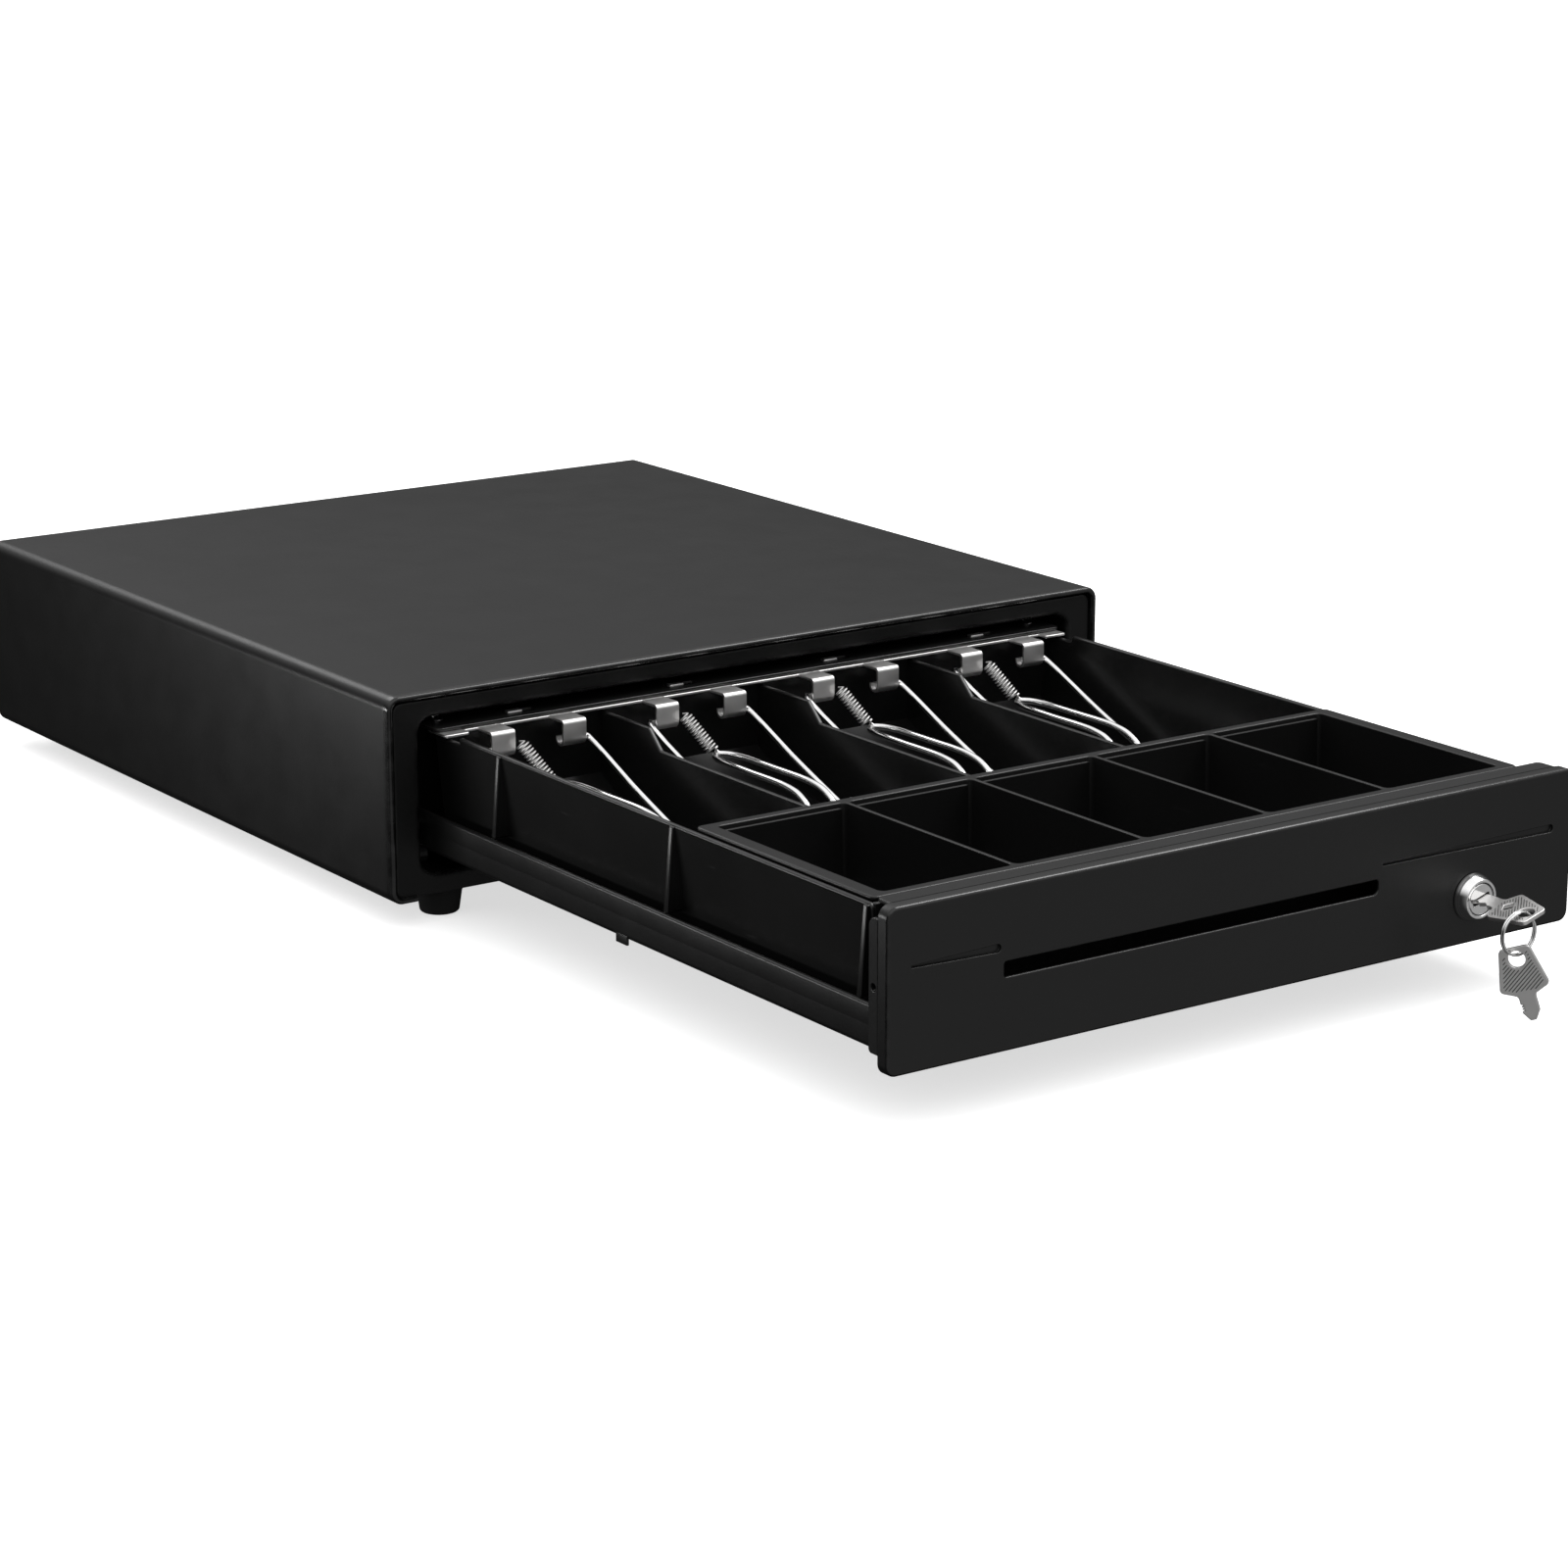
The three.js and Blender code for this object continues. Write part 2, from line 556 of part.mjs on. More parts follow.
// A divider, seen along X: it stands on the curved floor, low at the front with a step up at the rear.
function dividerOutline() {
  const foot = TILL_BOTTOM + TILL_FLOOR + FIT_GAP;
  const front = TILL_CROSS_WALL + FIT_GAP;
  const rear = TILL_REAR - 2 - FIT_GAP;
  const high = TILL_REAR_TOP - 0.6;
  const outline = new THREE.Shape();
  outline.moveTo(front, DIVIDER_LOW);
  outline.lineTo(front, foot);
  outline.lineTo(-66, foot);
  outline.quadraticCurveTo(-26, foot, rear, foot + 16);
  outline.lineTo(rear, high);
  outline.lineTo(DIVIDER_STEP_Y, high);
  outline.lineTo(DIVIDER_STEP_Y - 8, DIVIDER_LOW);
  return outline;
}

function billDivider(x) {
  return extrude(dividerOutline(), 'yz', x - 1, x + 1);
}

function tillTray() {
  const floor = TILL_BOTTOM + TILL_FLOOR;
  const half = TILL_HALF_WIDTH + CUT;
  const inside = extrude(tillSection(TILL_WALL, floor, TILL_TOP + 2 * CUT), 'xz', TILL_FRONT + 1.8, TILL_REAR - 2);
  const cavities = block(-half, half, TILL_FRONT, TILL_CROSS_WALL - 1.6, floor - CUT, TILL_TOP + CUT)
    .add(block(-half, half, TILL_CROSS_WALL - 3, TILL_CROSS_WALL + 1, DIVIDER_LOW, TILL_TOP + CUT))
    .add(extrude(billWell(), 'yz', -half, half));
  const underBar = block(-half, half, DECK_FRONT - 12.5, TILL_REAR + CUT, TILL_REAR_TOP, TILL_TOP + CUT);
  let tray = extrude(tillSection(0, TILL_BOTTOM, TILL_TOP), 'xz', TILL_FRONT, TILL_REAR)
    .subtract(inside.intersect(cavities))
    .subtract(underBar);
  for (const y of RIB_YS) {
    const rib = extrude(sideRib(), 'xz', y - RIB_THICKNESS / 2, y + RIB_THICKNESS / 2);
    tray = tray.add(rib).add(rib.mirror([1, 0, 0]));
  }
  return tray;
}

function coinTray() {
  const floor = COIN_BOTTOM + COIN_WALL;
  const half = COIN_BODY_HALF_WIDTH;
  const inside = half - COIN_WALL;
  const front = COIN_FRONT + COIN_RIM - 0.6;
  const rear = COIN_REAR - COIN_RIM + 0.6;
  const pitch = (2 * inside + COIN_WALL) / COIN_BAYS;
  const rim = extrude(roundedRectangle(-COIN_HALF_WIDTH, COIN_HALF_WIDTH, COIN_FRONT, COIN_REAR, 2), 'xy',
    COIN_TOP - 1.2, COIN_TOP);
  let tray = rim.add(block(-half, half, front, rear, COIN_BOTTOM, COIN_TOP - 0.5));
  for (let i = 0; i < COIN_BAYS; i += 1) {
    const left = -inside + i * pitch;
    const right = left + pitch - COIN_WALL;
    tray = tray.subtract(block(left, right, front + COIN_WALL, rear - COIN_WALL, floor, COIN_TOP + CUT));
  }
  return tray;
}

function strikeBracket() {
  const z = LATCH_PIVOT_Z - 9;
  const pinY = LATCH_PIVOT_Y - 6.7 - DRAWER_OPEN - 1;
  const ear = block(3, 4.2, PAN_REAR + CLEARANCE, pinY + 2.4, z - 5, z + 4);
  const plate = block(-8, 8, PAN_REAR + CLEARANCE, PAN_REAR + 1.5, z - 8, z + 8);
  const pin = cylinder('x', -4, 4, 1.5, [0, pinY, z], 12);
  return plate.add(ear).add(ear.mirror([1, 0, 0])).add(pin);
}

// One side of the wire form, from its end in the tab's curl to the middle of the hook.
function clipHalf() {
  const arm = TAB_OFFSET + 6;
  return [
    [TAB_OFFSET - 3, EYE_Y, EYE_Z], [arm - 2.4, EYE_Y, EYE_Z], [arm - 0.5, EYE_Y - 0.9, EYE_Z - 0.3],
    [arm, EYE_Y - 3.4, EYE_Z - 1.4], [arm, -45, 50.4], [arm, -84, 35.8],
    [arm - 1.4, -92, 33], [arm - 5, -96.5, 32.2], [arm - 9.5, -98, 33], [arm - 13.6, -96.8, 36.6],
    [6, -91, 46.4], [5.6, -84.5, 51], [5.5, -76, 52.8], [5.4, -50, 53], [5, -32, 53], [3.2, -25.4, 53],
  ];
}

function billClip() {
  const right = clipHalf();
  const hook = [[0, -22.6, 53]];
  return wire([...right, ...hook, ...mirrorX(right)], WIRE_RADIUS, 84, 6);
}

function clipSpring(x) {
  const top = new THREE.Vector3(x - 10, -12.6, 66.5);
  const bottom = new THREE.Vector3(x - 2.4, -19.6, 56);
  const length = top.distanceTo(bottom);
  const geometry = new THREE.CylinderGeometry(2.3, 2.3, length, 10);
  const turn = new THREE.Quaternion().setFromUnitVectors(
    new THREE.Vector3(0, 1, 0), top.clone().sub(bottom).normalize());
  geometry.applyQuaternion(turn);
  const middle = top.clone().add(bottom).multiplyScalar(0.5);
  geometry.translate(middle.x, middle.y, middle.z);
  return solid(geometry);
}

function addDrawer() {
  addPart('drawer_pan', drawerPan(), blackPaint());
  addPart('drawer_front', drawerFront(), blackPaint());
  addPart('rear_deck', rearDeck(), blackPaint());
  addPart('deck_screw_left', deckScrew(-138), chrome());
  addPart('deck_screw_right', deckScrew(138), chrome());
  addPart('strike_bracket', strikeBracket(), zinc());
  addPart('till_tray', tillTray(), blackPlastic());
  for (let i = 1; i < BILL_BAYS; i += 1) {
    addPart(`bill_divider_${i}`, billDivider((i - BILL_BAYS / 2) * BILL_PITCH), blackPlastic());
  }
  addPart('coin_tray', coinTray(), blackPlastic());
  addPart('clip_bar', clipBar(), nickel());
  const clip = billClip();
  billCentres().forEach((x, i) => {
    addPart(`bill_clip_${i + 1}`, clip.translate([x, 0, 0]), chrome());
    addPart(`clip_spring_${i + 1}`, clipSpring(x), nickel());
  });
}

// ---------------------------------------------------------------- lock, key, split ring and spare key

// Lengths along the lock's axis are measured from the panel's face, outwards negative.
const LOCK_CENTRE = [LOCK_X, -DRAWER_OPEN, LOCK_Z];

function lockHousing() {
  const head = turned([
    [0, -LOCK_HEAD_HEIGHT], [PLUG_RADIUS + 0.9, -LOCK_HEAD_HEIGHT], [PLUG_RADIUS + 1.5, -LOCK_HEAD_HEIGHT + 0.5],
    [LOCK_HEAD_RADIUS - 0.6, -1.6], [LOCK_HEAD_RADIUS, -0.8], [LOCK_HEAD_RADIUS, -CLEARANCE],
    [LOCK_BARREL_RADIUS, -CLEARANCE], [LOCK_BARREL_RADIUS, LOCK_BARREL_REAR], [0, LOCK_BARREL_REAR],
  ], 'y', LOCK_CENTRE, 32);
  return head.subtract(
    cylinder('y', -LOCK_HEAD_HEIGHT - CUT, LOCK_BARREL_REAR + CUT, PLUG_RADIUS + CLEARANCE, LOCK_CENTRE, 32));
}

function lockNut() {
  const nut = cylinder('y', PANEL_SHEET + CLEARANCE, PANEL_SHEET + 4, LOCK_NUT_RADIUS, LOCK_CENTRE, 6);
  const bore = cylinder('y', 0, PANEL_SHEET + 6, LOCK_BARREL_RADIUS + CLEARANCE, LOCK_CENTRE, 24);
  return nut.subtract(bore);
}

function lockPlug() {
  const plug = cylinder('y', -LOCK_HEAD_HEIGHT + 0.2, LOCK_BARREL_REAR + 1, PLUG_RADIUS, LOCK_CENTRE, 28);
  const half = KEY_THICKNESS / 2 + 0.4;
  const keyway = block(LOCK_X - 4, LOCK_X + 4, -DRAWER_OPEN - 8, -DRAWER_OPEN + 9, LOCK_Z - half, LOCK_Z + half);
  return rolled(plug.subtract(keyway));
}

function lockCam() {
  const y = -DRAWER_OPEN + LOCK_BARREL_REAR + 1 + CLEARANCE;
  const outline = new THREE.Shape();
  outline.absarc(0, 0, 7, 0, Math.PI, false);
  outline.lineTo(-5, -7.5);
  outline.lineTo(5, -7.5);
  outline.closePath();
  const hub = cylinder('y', 0, 2.8, 3, [LOCK_X, y, LOCK_Z], 12);
  const plate = extrude(outline, 'xz', 0, 2).translate([LOCK_X, y, LOCK_Z]);
  return rolled(plate.add(hub));
}

// Turns a solid about the lock's axis to where the key stands.
function rolled(body) {
  return body.translate([-LOCK_X, 0, -LOCK_Z]).rotate([0, -KEY_ROLL, 0]).translate([LOCK_X, 0, LOCK_Z]);
}

// A flat key, u across and v along it, with v = 0 at the ring hole and the blade towards +v.
function keyOutline(bladeEnd) {
  const outline = new THREE.Shape();
  outline.moveTo(-3.4, -4.3);
  outline.lineTo(3.4, -4.3);
  outline.quadraticCurveTo(5.4, -4.3, 5.8, -2.4);
  outline.lineTo(8.3, 8.4);
  outline.quadraticCurveTo(8.7, 10.2, 7.2, 11);
  outline.lineTo(3.4, 13);
  outline.lineTo(3, 14);
  outline.lineTo(3, bladeEnd - 3);
  outline.lineTo(1, bladeEnd);
  outline.lineTo(-1, bladeEnd);
  outline.lineTo(-3, bladeEnd - 3);
  outline.lineTo(-3, 14);
  outline.lineTo(-3.4, 13);
  outline.lineTo(-7.2, 11);
  outline.quadraticCurveTo(-8.7, 10.2, -8.3, 8.4);
  outline.lineTo(-5.8, -2.4);
  outline.quadraticCurveTo(-5.4, -4.3, -3.4, -4.3);
  return outline;
}

function keyBlank(bladeEnd) {
  const half = KEY_THICKNESS / 2;
  return extrude(keyOutline(bladeEnd), 'xy', -half, half, 4)
    .subtract(cylinder('z', -half - CUT, half + CUT, KEY_RING_HOLE, [0, 0, 0], 16));
}

// The ring hole of the key in the lock stands this far in front of the panel.
const KEY_HOLE_REACH = LOCK_HEAD_HEIGHT + 21.5;

function lockKey() {
  const window = extrude(polygon([[-3, 8.6], [0, 6.6], [3, 8.6], [0, 10.6]]), 'xy', -CUT, CUT);
  const key = keyBlank(KEY_HOLE_REACH + 8).subtract(window);
  return rolled(key.translate([LOCK_X, -DRAWER_OPEN - KEY_HOLE_REACH, LOCK_Z]));
}

const RING_CENTRE = [LOCK_X - 3.4, -DRAWER_OPEN - KEY_HOLE_REACH, LOCK_Z - 6.2];

function splitRing() {
  const torus = new THREE.TorusGeometry(RING_RADIUS, RING_WIRE, 8, 36);
  torus.rotateX(Math.PI / 2);
  return solid(torus).translate(RING_CENTRE);
}

function spareKey() {
  const hang = KEY_RING_HOLE - RING_WIRE - 0.6;
  return keyBlank(SPARE_KEY_REACH)
    .rotate([-90, 0, 0])
    .rotate([0, -SPARE_KEY_TILT, 0])
    .rotate([0, 0, -SPARE_KEY_TURN])
    .translate([RING_CENTRE[0], RING_CENTRE[1], RING_CENTRE[2] - RING_RADIUS - hang]);
}

function addLock() {
  addPart('lock_housing', lockHousing(), chrome());
  addPart('lock_nut', lockNut(), zinc());
  addPart('lock_plug', lockPlug(), chrome());
  addPart('lock_cam', lockCam(), zinc());
  addPart('lock_key', lockKey(), nickel());
  addPart('split_ring', splitRing(), chrome());
  addPart('spare_key', spareKey(), nickel());
}

// ---------------------------------------------------------------- the whole drawer

addCabinet();
addRunningGear();
addDrawer();
addLock();

// The footprint's middle becomes the origin.
const bounds = new THREE.Box3().setFromObject(assembly);
assembly.position.y = -(bounds.min.y + bounds.max.y) / 2;
assembly.updateMatrixWorld(true);

export default assembly;
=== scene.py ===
# %% [markdown]
# # A steel cash drawer, standing open
# The drawer's working model (its sizes, joints and moving bodies) is loaded as a fixed frame. This lesson gives
# it the look of the real thing: folded and powder-coated sheet, moulded plastic trays, bent chrome wire, small
# coil springs, a lock and its keys. Every new piece is worked out with numpy as a surface, in millimetres
# measured from the cabinet's front edge and the table, and then placed in the frame, in metres.

# %% Load the frame
import json
import math

import bpy
import bmesh
import numpy as np
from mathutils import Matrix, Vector
from mathutils.geometry import tessellate_polygon


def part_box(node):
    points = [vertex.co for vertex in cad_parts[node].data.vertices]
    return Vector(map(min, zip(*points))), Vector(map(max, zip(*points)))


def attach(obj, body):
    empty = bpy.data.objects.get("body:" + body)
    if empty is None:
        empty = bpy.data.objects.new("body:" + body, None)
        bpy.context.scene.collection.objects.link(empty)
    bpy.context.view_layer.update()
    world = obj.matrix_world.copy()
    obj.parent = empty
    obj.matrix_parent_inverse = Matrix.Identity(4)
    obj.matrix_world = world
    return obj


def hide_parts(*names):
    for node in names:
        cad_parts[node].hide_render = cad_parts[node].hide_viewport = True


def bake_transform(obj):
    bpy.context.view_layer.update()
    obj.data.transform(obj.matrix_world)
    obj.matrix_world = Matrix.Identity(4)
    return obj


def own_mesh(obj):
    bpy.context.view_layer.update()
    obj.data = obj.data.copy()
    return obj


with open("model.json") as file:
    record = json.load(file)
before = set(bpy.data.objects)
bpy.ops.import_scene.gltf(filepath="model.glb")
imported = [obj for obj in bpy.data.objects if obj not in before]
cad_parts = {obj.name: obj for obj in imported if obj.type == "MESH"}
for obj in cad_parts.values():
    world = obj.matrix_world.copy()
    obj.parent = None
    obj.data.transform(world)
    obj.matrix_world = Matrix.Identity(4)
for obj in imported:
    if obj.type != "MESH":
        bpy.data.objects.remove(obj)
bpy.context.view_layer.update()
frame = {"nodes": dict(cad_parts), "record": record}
MM = 0.001
FRONT_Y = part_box("cabinet_shell")[0][1]
print("nodes", len(frame["nodes"]), "front edge at y", round(FRONT_Y, 5))

# %% [markdown]
# ## Driving sizes
# These are the sizes of the real object that several pieces share: the cabinet's outline, the opening, the
# front panel and the two trays. All are in millimetres.

# %% Sizes
CABINET_HALF, CABINET_LOW, CABINET_HIGH, CABINET_DEPTH = 165.0, 9.5, 88.0, 338.0
CABINET_CORNER = 5.0
OPENING_HALF, OPENING_LOW, OPENING_HIGH = 151.0, 19.0, 78.0
PANEL_Y, PANEL_HALF, PANEL_LOW, PANEL_HIGH = -284.0, 149.5, 20.5, 76.5
SLOT_LEFT, SLOT_RIGHT, SLOT_Z, SLOT_HEIGHT = -103.0, 58.0, 48.3, 5.2
GROOVE_Z, GROOVE_OUTER = 55.9, 140.0
PAN_HALF, PAN_FLOOR, PAN_TOP = 147.5, 27.0, 42.0
PAN_FRONT, PAN_REAR = -282.0, 26.0
TILL_HALF, TILL_DRAFT, TILL_LOW, TILL_TOP, TILL_REAR_TOP = 143.5, 4.5, 28.5, 73.0, 70.8
TILL_FRONT, TILL_REAR, CROSS_WALL = -267.2, 4.0, -164.2
BILL_CENTRES = np.array([-108.0, -36.0, 36.0, 108.0])
BILL_PITCH = 72.0
DECK_TOP = 74.0
LOCK_X, LOCK_Z = 102.0, 37.5
print("cabinet", 2 * CABINET_HALF, "x", CABINET_DEPTH, "x", CABINET_HIGH, "mm")

# %% [markdown]
# ## Surfaces from arrays
# A piece is a list of patches. A patch is a grid of points, worked out as whole arrays, and its faces are the
# squares of that grid. Each point also has a number from 0 to 1, its wear, which is 1 on a rounded edge:
# the paint looks there later, because edges are where real paint and plastic shine and rub first. The finishes
# also paint a highlight there: a lighter colour along the edge, mixed with the rubbed look.

# %% Patches
def grid(points, wear_and_highlight, close_u=False, close_v=False):
    """Squares between neighbours of a grid of points, as (points, faces, wear)."""
    rows, columns = points.shape[:2]
    index = np.arange(rows * columns).reshape(rows, columns)
    if close_u:
        index = np.vstack([index, index[:1]])
    if close_v:
        index = np.hstack([index, index[:, :1]])
    squares = np.stack([index[:-1, :-1], index[1:, :-1], index[1:, 1:], index[:-1, 1:]], axis=-1)
    return points.reshape(-1, 3), squares.reshape(-1, 4).tolist(), np.broadcast_to(wear_and_highlight, (rows, columns)).ravel()


def placed(plane, uv, t):
    """Points of a flat outline (u, v) at height t over a plane: xy is seen from above, xz from the front."""
    t = np.broadcast_to(t, uv.shape[:-1])
    axes = {"xy": (uv[..., 0], uv[..., 1], t), "xz": (uv[..., 0], t, uv[..., 1]), "yz": (t, uv[..., 0], uv[..., 1])}
    return np.stack(axes[plane], axis=-1)


def fill(plane, outlines, t):
    """A flat face inside the first outline and outside the others."""
    triangles = tessellate_polygon([[Vector((u, v, 0)) for u, v in outline] for outline in outlines])
    points = placed(plane, np.concatenate(outlines), t)
    return points, [list(triangle) for triangle in triangles], np.zeros(len(points))


def make(name, patches, finish, body, stands_for=(), sharp=32):
    """Joins patches into one closed mesh, merges the points that meet, and turns the faces outwards."""
    count = 0
    points, faces, wear_and_highlight = [], [], []
    for patch_points, patch_faces, patch_wear_and_highlight in patches:
        points.append(patch_points)
        faces += [[i + count for i in face] for face in patch_faces]
        wear_and_highlight.append(patch_wear_and_highlight)
        count += len(patch_points)
    mesh = bpy.data.meshes.new(name)
    mesh.from_pydata(np.concatenate(points) * MM + [0, FRONT_Y, 0], [], faces)
    attribute = mesh.attributes.new("wear_and_highlight", "FLOAT", "POINT")
    attribute.data.foreach_set("value", np.concatenate(wear_and_highlight).astype(np.float32))
    shape = bmesh.new()
    shape.from_mesh(mesh)
    bmesh.ops.remove_doubles(shape, verts=shape.verts, dist=1e-6)
    bmesh.ops.dissolve_degenerate(shape, edges=shape.edges, dist=1e-7)
    bmesh.ops.recalc_face_normals(shape, faces=shape.faces)
    shape.to_mesh(mesh)
    shape.free()
    mesh.polygons.foreach_set("use_smooth", np.ones(len(mesh.polygons), dtype=bool))
    mesh.set_sharp_from_angle(angle=math.radians(sharp))
    mesh.materials.append(finish)
    piece = bpy.data.objects.new(name, mesh)
    bpy.context.scene.collection.objects.link(piece)
    if body:
        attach(piece, body)
    if stands_for:
        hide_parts(*stands_for)
    open_edges = np.bincount(edge_use(mesh), minlength=3)[1]
    print(f"{name}: {len(mesh.polygons)} faces, {open_edges} open edges")
    return piece


def edge_use(mesh):
    """How many faces use each edge, which is two everywhere on a closed mesh."""
    edges = np.empty(len(mesh.loops), dtype=np.int32)
    mesh.loops.foreach_get("edge_index", edges)
    return np.bincount(edges, minlength=len(mesh.edges))

# %% [markdown]
# ## Outlines and edges
# Sheet metal and moulded parts are nearly all outlines with a thickness. An outline is a polygon whose corners
# are replaced by arcs. Moving each of its points along the mean of its two sides' normals draws the same outline
# a little smaller or larger, and a stack of such outlines makes a wall with rounded edges.

# %% Outlines
def arc(centre, radius, start, end, steps):
    """Points on a circle from one angle to another, in degrees."""
    angle = np.radians(np.linspace(start, end, steps + 1))
    return np.stack([centre[0] + radius * np.cos(angle), centre[1] + radius * np.sin(angle)], axis=-1)


def rounded(corners, radii, steps=8, closed=True):
    """A polygon whose corners are arcs that touch both sides, in two or three dimensions."""
    corners = np.asarray(corners, dtype=float)
    radii = np.broadcast_to(radii, len(corners))
    points = []
    for i, (corner, radius) in enumerate(zip(corners, radii)):
        if radius <= 0 or (not closed and i in (0, len(corners) - 1)):
            points.append(corner[None])
            continue
        before = corners[i - 1] - corner
        after = corners[(i + 1) % len(corners)] - corner
        before /= np.linalg.norm(before)
        after /= np.linalg.norm(after)
        half = math.acos(np.clip(before @ after, -1, 1)) / 2
        middle = (before + after) / np.linalg.norm(before + after)
        centre = corner + middle * radius / math.sin(half)
        sideways = (after - before) / np.linalg.norm(after - before)
        swing = np.linspace(-1, 1, steps + 1)[:, None] * (math.pi / 2 - half)
        points.append(centre + radius * (sideways * np.sin(swing) - middle * np.cos(swing)))
    return np.concatenate(points)


def rectangle(u0, u1, v0, v1, radius, steps=8):
    """A rectangle with round corners, anticlockwise."""
    return rounded([(u0, v0), (u1, v0), (u1, v1), (u0, v1)], radius, steps)


def ridge(steps, after):
    """The edge mask along a profile, for rubbed edges and painted edge highlights: none, then up and down again
    over a rounded edge, then none.
    """
    return np.concatenate([[0], np.sin(np.linspace(0, math.pi, steps)), np.zeros(after)])


def grown(outline, distance):
    """The outline moved outwards: each point goes along the mean of its two sides' normals."""
    sides = np.roll(outline, -1, axis=0) - outline
    sides /= np.linalg.norm(sides, axis=1, keepdims=True)
    normal = np.stack([sides[:, 1], -sides[:, 0]], axis=-1)
    after = np.roll(outline, -1, axis=0)
    normal *= np.sign(np.sum(outline[:, 0] * after[:, 1] - after[:, 0] * outline[:, 1]))
    before = np.roll(normal, 1, axis=0)
    mean = (normal + before) / (1 + np.sum(normal * before, axis=1, keepdims=True))
    return outline + mean * distance


def wall(plane, outline, profile, wear_and_highlight=None):
    """A closed outline carried up a profile of (how far it is drawn in, height)."""
    profile = np.asarray(profile, dtype=float)
    points = np.stack([placed(plane, grown(outline, -inset), t) for inset, t in profile], axis=1)
    return grid(points, np.zeros(len(profile)) if wear_and_highlight is None else np.asarray(wear_and_highlight), close_u=True)


def edge_profile(low, high, edge, band=0.15, steps=4):
    """The side of a slab: flat band, quarter round, straight, quarter round, flat band, with its edge mask for wear
    and painted highlight.
    """
    quarter = np.radians(np.linspace(0, 90, steps + 1))
    lower = np.stack([edge * (1 - np.sin(quarter)), low + edge * (1 - np.cos(quarter))], axis=-1)
    upper = np.stack([edge * (1 - np.cos(quarter)), high - edge * (1 - np.sin(quarter))], axis=-1)
    rows = np.concatenate([[[edge + band, low]], lower, upper, [[edge + band, high]]])
    round_wear_and_highlight = np.sin(2 * quarter)
    return rows, np.concatenate([[0], round_wear_and_highlight, round_wear_and_highlight, [0]])


def slab(plane, outer, low, high, edge=0.3, holes=(), hole_edge=None):
    """A flat piece of even thickness with rounded edges, and rounded edges round its holes."""
    hole_edge = edge if hole_edge is None else hole_edge
    rows, wear_and_highlight = edge_profile(low, high, edge)
    hole_rows, hole_wear_and_highlight = edge_profile(low, high, hole_edge)
    hole_rows = hole_rows * [-1, 1]
    patches = [wall(plane, outer, rows, wear_and_highlight)] + [wall(plane, hole, hole_rows, hole_wear_and_highlight) for hole in holes]
    for row, t in ((0, low), (-1, high)):
        outlines = [grown(outer, -rows[row, 0])] + [grown(hole, -hole_rows[row, 0]) for hole in holes]
        patches.append(fill(plane, outlines, t))
    return patches


def strip(path, thickness):
    """The closed outline of a sheet of some thickness that follows an open path on its left side."""
    sides = np.diff(path, axis=0)
    sides /= np.linalg.norm(sides, axis=1, keepdims=True)
    normal = np.stack([-sides[:, 1], sides[:, 0]], axis=-1)
    before = np.vstack([normal[:1], normal])
    after = np.vstack([normal, normal[-1:]])
    mean = (before + after) / (1 + np.sum(before * after, axis=1, keepdims=True))
    return np.concatenate([path, (path + mean * thickness)[::-1]])

# %% [markdown]
# ## Turned and drawn shapes
# Feet, screws and the lock are turned: a profile goes round an axis. Clips, springs and the ring are drawn wire:
# a circle is carried along a path, and at each step it is turned only as much as the path turns.

# %% Turned and drawn shapes
def turned(profile, centre, axis, steps=48, wear_and_highlight=None):
    """A profile of (radius, distance along the axis) carried round that axis."""
    profile = np.asarray(profile, dtype=float)
    angle = np.linspace(0, 2 * math.pi, steps, endpoint=False)[:, None]
    across, along = profile[:, 0] * np.cos(angle), profile[:, 0] * np.sin(angle)
    height = np.broadcast_to(profile[:, 1], across.shape)
    axes = {"z": (across, along, height), "y": (across, height, along), "x": (height, across, along)}
    return grid(np.stack(axes[axis], axis=-1) + np.asarray(centre), 0 if wear_and_highlight is None else wear_and_highlight, close_u=True)


def tube(path, radius, sides=12, closed=False, wear_and_highlight=0.0):
    """A circle carried along a path, with flat ends. The circle's frame is turned only as the path turns."""
    path = np.asarray(path, dtype=float)
    tangent = np.roll(path, -1, axis=0) - np.roll(path, 1, axis=0) if closed else np.gradient(path, axis=0)
    tangent /= np.linalg.norm(tangent, axis=1, keepdims=True)
    across = np.empty_like(path)
    start = np.cross(tangent[0], [0.3, 0.2, 1.0])
    across[0] = start / np.linalg.norm(start)
    for i in range(1, len(path)):
        step = across[i - 1] - tangent[i] * (across[i - 1] @ tangent[i])
        across[i] = step / np.linalg.norm(step)
    up = np.cross(tangent, across)
    radius = np.broadcast_to(radius, len(path))[:, None, None]
    angle = np.linspace(0, 2 * math.pi, sides, endpoint=False)[None, :, None]
    ring = across[:, None] * np.cos(angle) + up[:, None] * np.sin(angle)
    points = path[:, None] + radius * ring
    if closed:
        return [grid(points, wear_and_highlight, close_u=True, close_v=True)]
    first, last = np.repeat(path[:1, None], sides, axis=1), np.repeat(path[-1:, None], sides, axis=1)
    points = np.concatenate([first, points, last])
    return [grid(points, wear_and_highlight, close_v=True)]


